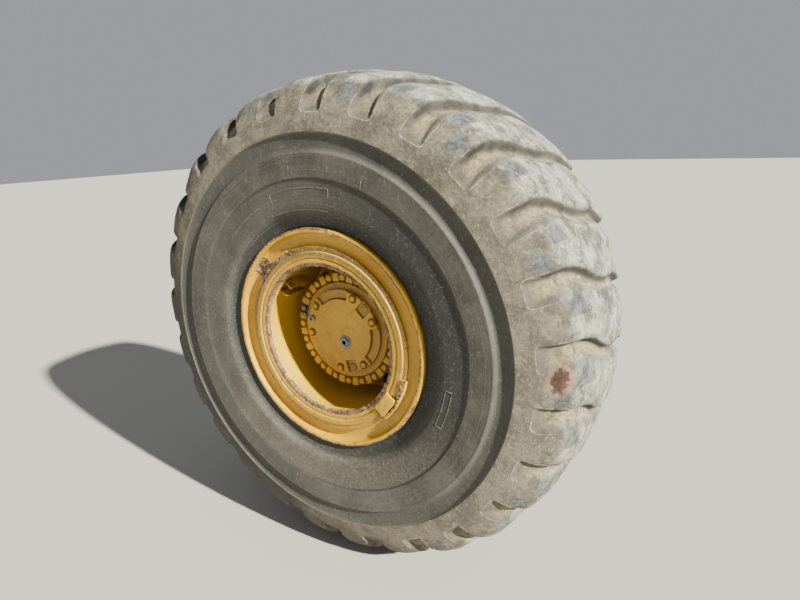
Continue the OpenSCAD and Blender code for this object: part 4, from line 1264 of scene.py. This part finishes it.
# %% Tread rubber: noses, grooves and cracks
uneven = times(tree, plus(tree, clouded, mottle), 0.7)
rubbed = fade(tree, plus(tree, nose_here, uneven), 0.92, 1.34)
blue_grey = blend(tree, fade(tree, mottle, 0.40, 0.62), (0.036, 0.041, 0.046), (0.125, 0.130, 0.131))
colour = blend(tree, times(tree, rubbed, 0.90), colour, blue_grey)
sandy = blend(tree, fade(tree, mottle, 0.42, 0.62), (0.150, 0.113, 0.058), (0.30, 0.236, 0.132))
sandy_here = masked(tree, fade(tree, sunk_share, 0.15, 0.75), fade(tree, clouded, 0.18, 0.52))
colour = blend(tree, times(tree, sandy_here, 0.85), colour, sandy)
# Dark dirt and painted shade along the pocket edges
by_edge = band(tree, edge_near, (-0.004, 0.006), (0.026, 0.012))
grime_and_shade = times(tree, by_edge, fade(tree, mottle, 0.36, 0.56))
colour = blend(tree, times(tree, grime_and_shade, 0.62), colour, (0.060, 0.055, 0.045))
# Dirt and painted shade on the steep walls
wall_dirt_and_shade_here = stored(tree, "wall_dirt_and_shade")
wall_dirt_and_shade_mask = masked(tree, wall_dirt_and_shade_here, fade(tree, clouded, 0.22, 0.44), 0.92)
colour = blend(tree, wall_dirt_and_shade_mask, colour, (0.036, 0.034, 0.029))
# A painted shadow, nearly black, under each steep wall's overhang on the shoulder
on_shoulder = band(tree, across_tyre, (0.255, 0.285), (0.345, 0.320))
painted_undercut_shadow = times(tree, fade(tree, wall_dirt_and_shade_here, 0.86, 0.96), on_shoulder)
colour = blend(tree, times(tree, painted_undercut_shadow, 0.85), colour, (0.012, 0.011, 0.010))
# The pale line at each pocket's foot: a raised edge, partly a painted highlight
foot = band(tree, edge_near, (-0.0042, -0.0026), (0.0006, -0.0010))
foot = times(tree, foot, fade(tree, at["Radius"], 0.862, 0.845))
foot_line_and_highlight = masked(tree, foot, fade(tree, mottle, 0.38, 0.54), fade(tree, clouded, 0.30, 0.46))
colour = blend(tree, times(tree, foot_line_and_highlight, 0.6), colour, (0.50, 0.45, 0.36))
torn_bits = masked(tree, fade(tree, torn_here, 0.25, 0.6), fade(tree, mottle, 0.57, 0.49))
colour = blend(tree, torn_bits, colour, (0.018, 0.016, 0.014))
cracks = put(tree, crazing, Place=at["Place"], Size=55.0, Width=0.05)["Cracks"]
cracks = times(tree, cracks, fade(tree, at["Radius"], 0.79, 0.83))
colour = blend(tree, times(tree, cracks, 0.7), colour, (0.045, 0.040, 0.034))
colour = blend(tree, times(tree, tone_here, 0.18), colour, (0.17, 0.155, 0.125))

# Painted shade: the side away from the sun and the underside are darker
TO_SUN, UPWARDS = (0.857, 0, 0.515), (0, 0, 1)
painted_shade_far_side = times(tree, fade(tree, towards(tree, at["Place"], TO_SUN), -0.30, -0.68), 0.74)
painted_shade_underneath = times(tree, fade(tree, towards(tree, at["Place"], UPWARDS), -0.74, -0.90), 0.55)
colour = blend(tree, calc(tree, "MAXIMUM", painted_shade_far_side, painted_shade_underneath), colour, (0.040, 0.039, 0.035))
print("with grooves:", len(tree.nodes), "nodes")

# %% [markdown]
# At one place on the shoulder a stone tore the rubber, and red earth has dried there. The patch is an
# ellipse in clock angle and radius, made ragged by noise. Last, the grain, the cracks and the lines
# become height for a Bump node.

# %% Tread rubber: the torn place and the relief
TORN_CLOCK, TORN_R = 89.4, 0.832
TORN_WIDE, TORN_HIGH = 3.4, 0.030
off_clock = calc(tree, "DIVIDE", calc(tree, "ABSOLUTE", minus(tree, at["Clock"], TORN_CLOCK)), TORN_WIDE)
off_radius = calc(tree, "DIVIDE", calc(tree, "ABSOLUTE", minus(tree, at["Radius"], TORN_R)), TORN_HIGH)
off_patch = plus(tree, calc(tree, "POWER", off_clock, 2.0), calc(tree, "POWER", off_radius, 2.0))
ragged = plus(tree, off_patch, times(tree, grain(tree, at["Place"], 70.0, 6.0, 0.7), 2.4))
red_earth = masked(tree, fade(tree, ragged, 1.95, 1.60), fade(tree, at["Depth"], 0.25, 0.28))
halo = masked(tree, fade(tree, ragged, 2.9, 1.8), fade(tree, at["Depth"], 0.25, 0.28))
colour = blend(tree, times(tree, halo, 0.34), colour, (0.33, 0.185, 0.085))
earth = blend(tree, fade(tree, mottle, 0.44, 0.58), (0.012, 0.005, 0.004), (0.062, 0.019, 0.009))
colour = blend(tree, times(tree, red_earth, 0.92), colour, earth)
join(tree, shader["Base Color"], colour)
join(tree, shader["Roughness"], minus(tree, 0.90, times(tree, rubbed, 0.30)))
fine = times(tree, grain(tree, at["Place"], 260.0, 4.0, 0.7), 0.35)
height = plus(tree, fine, times(tree, mottle, 1.7))
height = minus(tree, height, times(tree, cracks, 1.6))
height = plus(tree, height, times(tree, foot_line_and_highlight, 0.6))
height = minus(tree, height, times(tree, torn_bits, 1.2))
bumped = add(tree, "Bump", {"Height": height, "Distance": 0.0036, "Strength": 1.0})
join(tree, shader["Normal"], bumped.outputs["Normal"])
coat(tread_rubber, tread)
print("tread rubber:", len(tree.nodes), "nodes")

# %% [markdown]
# The sidewall is the same rubber, less dusty and much darker. Its rings differ: the hollow band below the
# tread is dark, the ridge is scuffed pale, and rain and dust leave faint streaks that run round it. Each
# ring is a band of radii. Dust lies on its lower part, and the plain band is darker towards the right.
# Painted shade darkens the side away from the sun, the small step and the band beside the rim.

# %% Rings of the sidewall
RIDGE_TOP = (0.6450, 0.6485), (0.6530, 0.6505)
HOLLOW_BAND = (0.6478, 0.6520), (0.714, 0.706)
STEP_LINE = (0.5640, 0.5675), (0.5735, 0.5705)
PLAIN_BAND, BELTS, CREASE, BY_RIM = (0.575, 0.560), (0.560, 0.580), (0.7095, 0.7155), (0.462, 0.440)
STREAK_STRETCH = (9.0, 3.0, 0.6)
BUMP_HEIGHT = 0.0010
print("ridge", RIDGE_TOP, "hollow band", HOLLOW_BAND)

# %% Sidewall rubber
def sidewall_finish(name, paler):
    """The sidewall's rubber. The mould lines on it are rubbed paler than the skin around them, with a
    painted highlight.
    """
    finish, tree, shader = new_finish(name)
    at = put(tree, wheel_place)
    place, radius = at["Place"], at["Radius"]
    dust = put(tree, dust_film, Place=place, Amount=0.35)["Dust"]
    mottle = grain(tree, place, 95.0, 8.0, 0.72)
    patches = fade(tree, grain(tree, place, 7.0, 5.0), 0.35, 0.65)
    streaks = add(tree, "VectorMath", {0: at["Round"], 1: STREAK_STRETCH}, operation="MULTIPLY").outputs[0]
    rings = grain(tree, streaks, 22.0, 6.0, 0.6)
    away, up = towards(tree, place, TO_SUN), towards(tree, place, UPWARDS)
    sideways = towards(tree, place, (1, 0, 0))

    # Dark rubber, dust and streaks, then one ring after another
    colour = blend(tree, patches, (0.028, 0.027, 0.023), (0.061, 0.058, 0.049))
    colour = blend(tree, times(tree, dust, 0.50), colour, (0.150, 0.136, 0.106))
    colour = blend(tree, times(tree, fade(tree, rings, 0.50, 0.72), 0.40), colour, (0.120, 0.114, 0.096))
    # The plain band is darker towards the right
    right_side_share = plus(tree, 0.24, times(tree, fade(tree, sideways, -0.10, 0.42), 0.72))
    plain_band = times(tree, fade(tree, radius, *PLAIN_BAND), right_side_share)
    colour = blend(tree, plain_band, colour, (0.022, 0.022, 0.019))
    ridge = masked(tree, band(tree, radius, *RIDGE_TOP), fade(tree, mottle, 0.36, 0.60), 0.22)
    colour = blend(tree, ridge, colour, (0.120, 0.116, 0.100))
    # Pale dust on the crease, left off on the side away from the sun as painted shade
    crease_dust_on_lit_side = masked(tree, fade(tree, radius, *CREASE), fade(tree, away, -0.34, -0.08), 0.7)
    colour = blend(tree, crease_dust_on_lit_side, colour, (0.165, 0.146, 0.112))
    hollow = times(tree, band(tree, radius, *HOLLOW_BAND), 0.5)
    colour = blend(tree, hollow, colour, (0.040, 0.040, 0.036))
    low_dust = times(tree, fade(tree, up, -0.10, -0.52), fade(tree, mottle, 0.26, 0.60))
    low_share = minus(tree, 0.36, times(tree, fade(tree, radius, 0.560, 0.572), 0.28))
    colour = blend(tree, times(tree, low_dust, low_share), colour, (0.225, 0.198, 0.152))
    # Painted shade on the belts on the side away from the sun
    painted_shade_far_belts = masked(tree, fade(tree, away, -0.20, -0.50), fade(tree, radius, *BELTS), 0.45)
    colour = blend(tree, painted_shade_far_belts, colour, (0.030, 0.029, 0.026))
    # Painted shade at the small step
    painted_shade_step_line = times(tree, band(tree, radius, *STEP_LINE), 0.6)
    colour = blend(tree, painted_shade_step_line, colour, (0.016, 0.015, 0.013))
    # Painted shade on the band beside the rim
    painted_shade_by_rim = times(tree, fade(tree, radius, *BY_RIM), 0.8)
    colour = blend(tree, painted_shade_by_rim, colour, (0.018, 0.0175, 0.016))

    # Pale specks, fine cracks, and the lines that are rubbed paler, with a painted highlight
    specks = times(tree, fade(tree, mottle, 0.54, 0.66), 0.38)
    colour = blend(tree, specks, colour, (0.185, 0.178, 0.155))
    cracks = put(tree, crazing, Place=place, Size=34.0, Width=0.03)["Cracks"]
    colour = blend(tree, times(tree, cracks, 0.25), colour, (0.016, 0.016, 0.015))
    lit = times(tree, fade(tree, mottle, 0.32, 0.58), paler)
    join(tree, shader["Base Color"], blend(tree, lit, colour, (0.26, 0.25, 0.22)))
    join(tree, shader["Roughness"], plus(tree, 0.68, times(tree, dust, 0.22)))
    height = plus(tree, times(tree, mottle, 0.9), times(tree, rings, 0.8))
    height = minus(tree, height, times(tree, cracks, 0.3))
    bumped = add(tree, "Bump", {"Height": height, "Distance": BUMP_HEIGHT, "Strength": 1.0})
    join(tree, shader["Normal"], bumped.outputs["Normal"])
    return finish

wall_rubber, line_rubber = sidewall_finish("wall_rubber", 0.0), sidewall_finish("rubbed_lit_line_rubber", 0.55)
coat(wall_rubber, outer_wall, inner_wall)
coat(line_rubber, wall_lines)
print("wall rubber:", len(wall_rubber.node_tree.nodes), "nodes")

# %% [markdown]
# Machine paint is ochre, faded in places and stained in others. Chips show brown rust with a pale border
# where the paint has lifted. Each piece stores how worn, how grimy and how burnt each vertex is, so one
# recipe serves a clean side ring, an oily hub and the gutter lip that a torch has scorched. The grimy
# share also carries painted shade in corners, in recesses and in shaded parts of the dish and hub.

# %% Machine paint
OIL_PLACE, OIL_R = (-0.184, -0.420, 0.054), 0.040
DISH_EDGE = (0.2870, 0.2845)

def painted_finish(name, extra_wear, dusty, skin=0.35, faded=0.0, oily=False):
    """Ochre paint, from the values that each piece has stored. Skin is how rough the casting is."""
    finish, tree, shader = new_finish(name)
    at = put(tree, wheel_place)
    place = at["Place"]
    paint = put(tree, paint_tone, Place=place)["Colour"]
    rust = put(tree, rust_tone, Place=place)["Colour"]
    worn_here = plus(tree, stored(tree, "wear"), extra_wear)
    chips = put(tree, chipping, Place=place, Wear=worn_here, Size=75.0)
    bare = chips["Bare"]
    dust = put(tree, dust_film, Place=place, Amount=dusty)["Dust"]
    mottle = grain(tree, place, 110.0, 7.0, 0.7)

    # Faded paint in the dish, dust, pale borders, dirt with painted shade, rust in the chips, and slag where
    # it was burnt
    in_dish = times(tree, fade(tree, at["Radius"], *DISH_EDGE), faded)
    paint = blend(tree, in_dish, paint, (0.45, 0.300, 0.008))
    colour = blend(tree, times(tree, dust, 0.32), paint, (0.46, 0.33, 0.070))
    colour = blend(tree, times(tree, chips["Border"], 0.40), colour, (0.66, 0.47, 0.15))
    grime_and_shade = masked(tree, stored(tree, "grime_and_shade"), fade(tree, mottle, 0.20, 0.56))
    colour = blend(tree, times(tree, grime_and_shade, 0.88), colour, (0.062, 0.046, 0.026))
    burnt = fade(tree, plus(tree, stored(tree, "burnt"), times(tree, mottle, 0.8)), 0.78, 1.05)
    scaly = grain(tree, place, 62.0, 6.0, 0.7)
    ash = blend(tree, fade(tree, scaly, 0.44, 0.58), (0.062, 0.034, 0.020), (0.30, 0.205, 0.105))
    colour = blend(tree, bare, colour, rust)
    colour = blend(tree, burnt, colour, ash)
    roughness = plus(tree, 0.40, times(tree, dust, 0.28))
    roughness = plus(tree, roughness, times(tree, bare, 0.30))
    if oily:
        away = add(tree, "VectorMath", {0: place, 1: OIL_PLACE}, operation="DISTANCE").outputs["Value"]
        spread = plus(tree, away, times(tree, grain(tree, place, 40.0, 5.0), 0.05))
        oil = fade(tree, spread, OIL_R + 0.032, OIL_R + 0.008)
        film = blend(tree, fade(tree, mottle, 0.45, 0.6), (0.030, 0.029, 0.032), (0.135, 0.140, 0.155))
        colour = blend(tree, times(tree, oil, 0.88), colour, film)
        roughness = minus(tree, roughness, times(tree, oil, 0.18))
    join(tree, shader["Base Color"], colour)
    join(tree, shader["Roughness"], roughness)
    fine = times(tree, grain(tree, place, 190.0, 4.0), 0.35)
    height = plus(tree, fine, times(tree, mottle, skin))
    height = minus(tree, height, times(tree, bare, 0.8))
    bumped = add(tree, "Bump", {"Height": height, "Distance": BUMP_HEIGHT, "Strength": 1.0})
    join(tree, shader["Normal"], bumped.outputs["Normal"])
    return finish

rim_paint = painted_finish("rim_paint", 0.0, 0.1, faded=0.6)
hub_paint = painted_finish("hub_paint", 0.0, 0.25, skin=1.5, oily=True)
old_paint = painted_finish("old_paint", 0.05, 0.5)
bare_steel = painted_finish("rusty_steel", 0.14, 0.5)
print("paint:", len(rim_paint.node_tree.nodes), "nodes; hub:", len(hub_paint.node_tree.nodes))

# %% Paint on its pieces
PAINTED = ((rim_paint, (outer_ring, inner_ring, rim_base, seat_band, lock_ring, key_block, welds)),
           (hub_paint, (housing_ring, pads, housing_bolts, cover, cover_bolts)),
           (old_paint, (valve_guard, disc_plate, hub_drum, brake)),
           (bare_steel, (stop_pads, wheel_nuts, ports, seal_ring)))

def complete(piece):
    """Gives a piece the values that the paint reads and that it hasn't stored itself."""
    for name in ("wear", "grime_and_shade", "burnt"):
        if name not in piece.data.attributes:
            keep_value(piece, name, np.zeros(len(piece.data.vertices)))

for finish, pieces in PAINTED:
    for piece in pieces:
        complete(piece)
    coat(finish, *pieces)
    print(finish.name, "is on", len(pieces), "pieces")

# %% [markdown]
# What is left is metal without paint: forged steel with a thin brown rust, plugs with a film of oil, and
# the valve's brass, which has gone dull.

# %% Bare metals
def metal_finish(name, low, high, metallic, roughness, rusted):
    """Metal between two tones, with patches of rust. The more rusted, the larger they are."""
    finish, tree, shader = new_finish(name, Metallic=metallic)
    at = put(tree, wheel_place)
    mottle = grain(tree, at["Place"], 120.0, 7.0, 0.7)
    colour = blend(tree, fade(tree, mottle, 0.38, 0.62), low, high)
    rust = put(tree, rust_tone, Place=at["Place"])["Colour"]
    spread = fade(tree, plus(tree, grain(tree, at["Place"], 30.0, 6.0), rusted), 0.62, 0.78)
    join(tree, shader["Base Color"], blend(tree, spread, colour, rust))
    join(tree, shader["Roughness"], plus(tree, roughness, times(tree, mottle, 0.2)))
    bumped = add(tree, "Bump", {"Height": mottle, "Distance": 0.0008, "Strength": 1.0})
    join(tree, shader["Normal"], bumped.outputs["Normal"])
    return finish

# Name, dark tone, light tone, Metallic, roughness, and how rusted
METALS = (("cast_steel", (0.085, 0.070, 0.056), (0.21, 0.185, 0.150), 0.3, 0.55, 0.22),
          ("oily_plug_steel", (0.085, 0.085, 0.088), (0.30, 0.31, 0.32), 0.5, 0.38, -0.05),
          ("dull_brass", (0.20, 0.14, 0.055), (0.42, 0.31, 0.13), 0.7, 0.40, 0.0))
cast_steel, plug_steel, brass = (metal_finish(*values) for values in METALS)
coat(cast_steel, spindle)
coat(plug_steel, middle_plug, level_plug)
coat(brass, valve_stem)
print("materials:", len(bpy.data.materials))
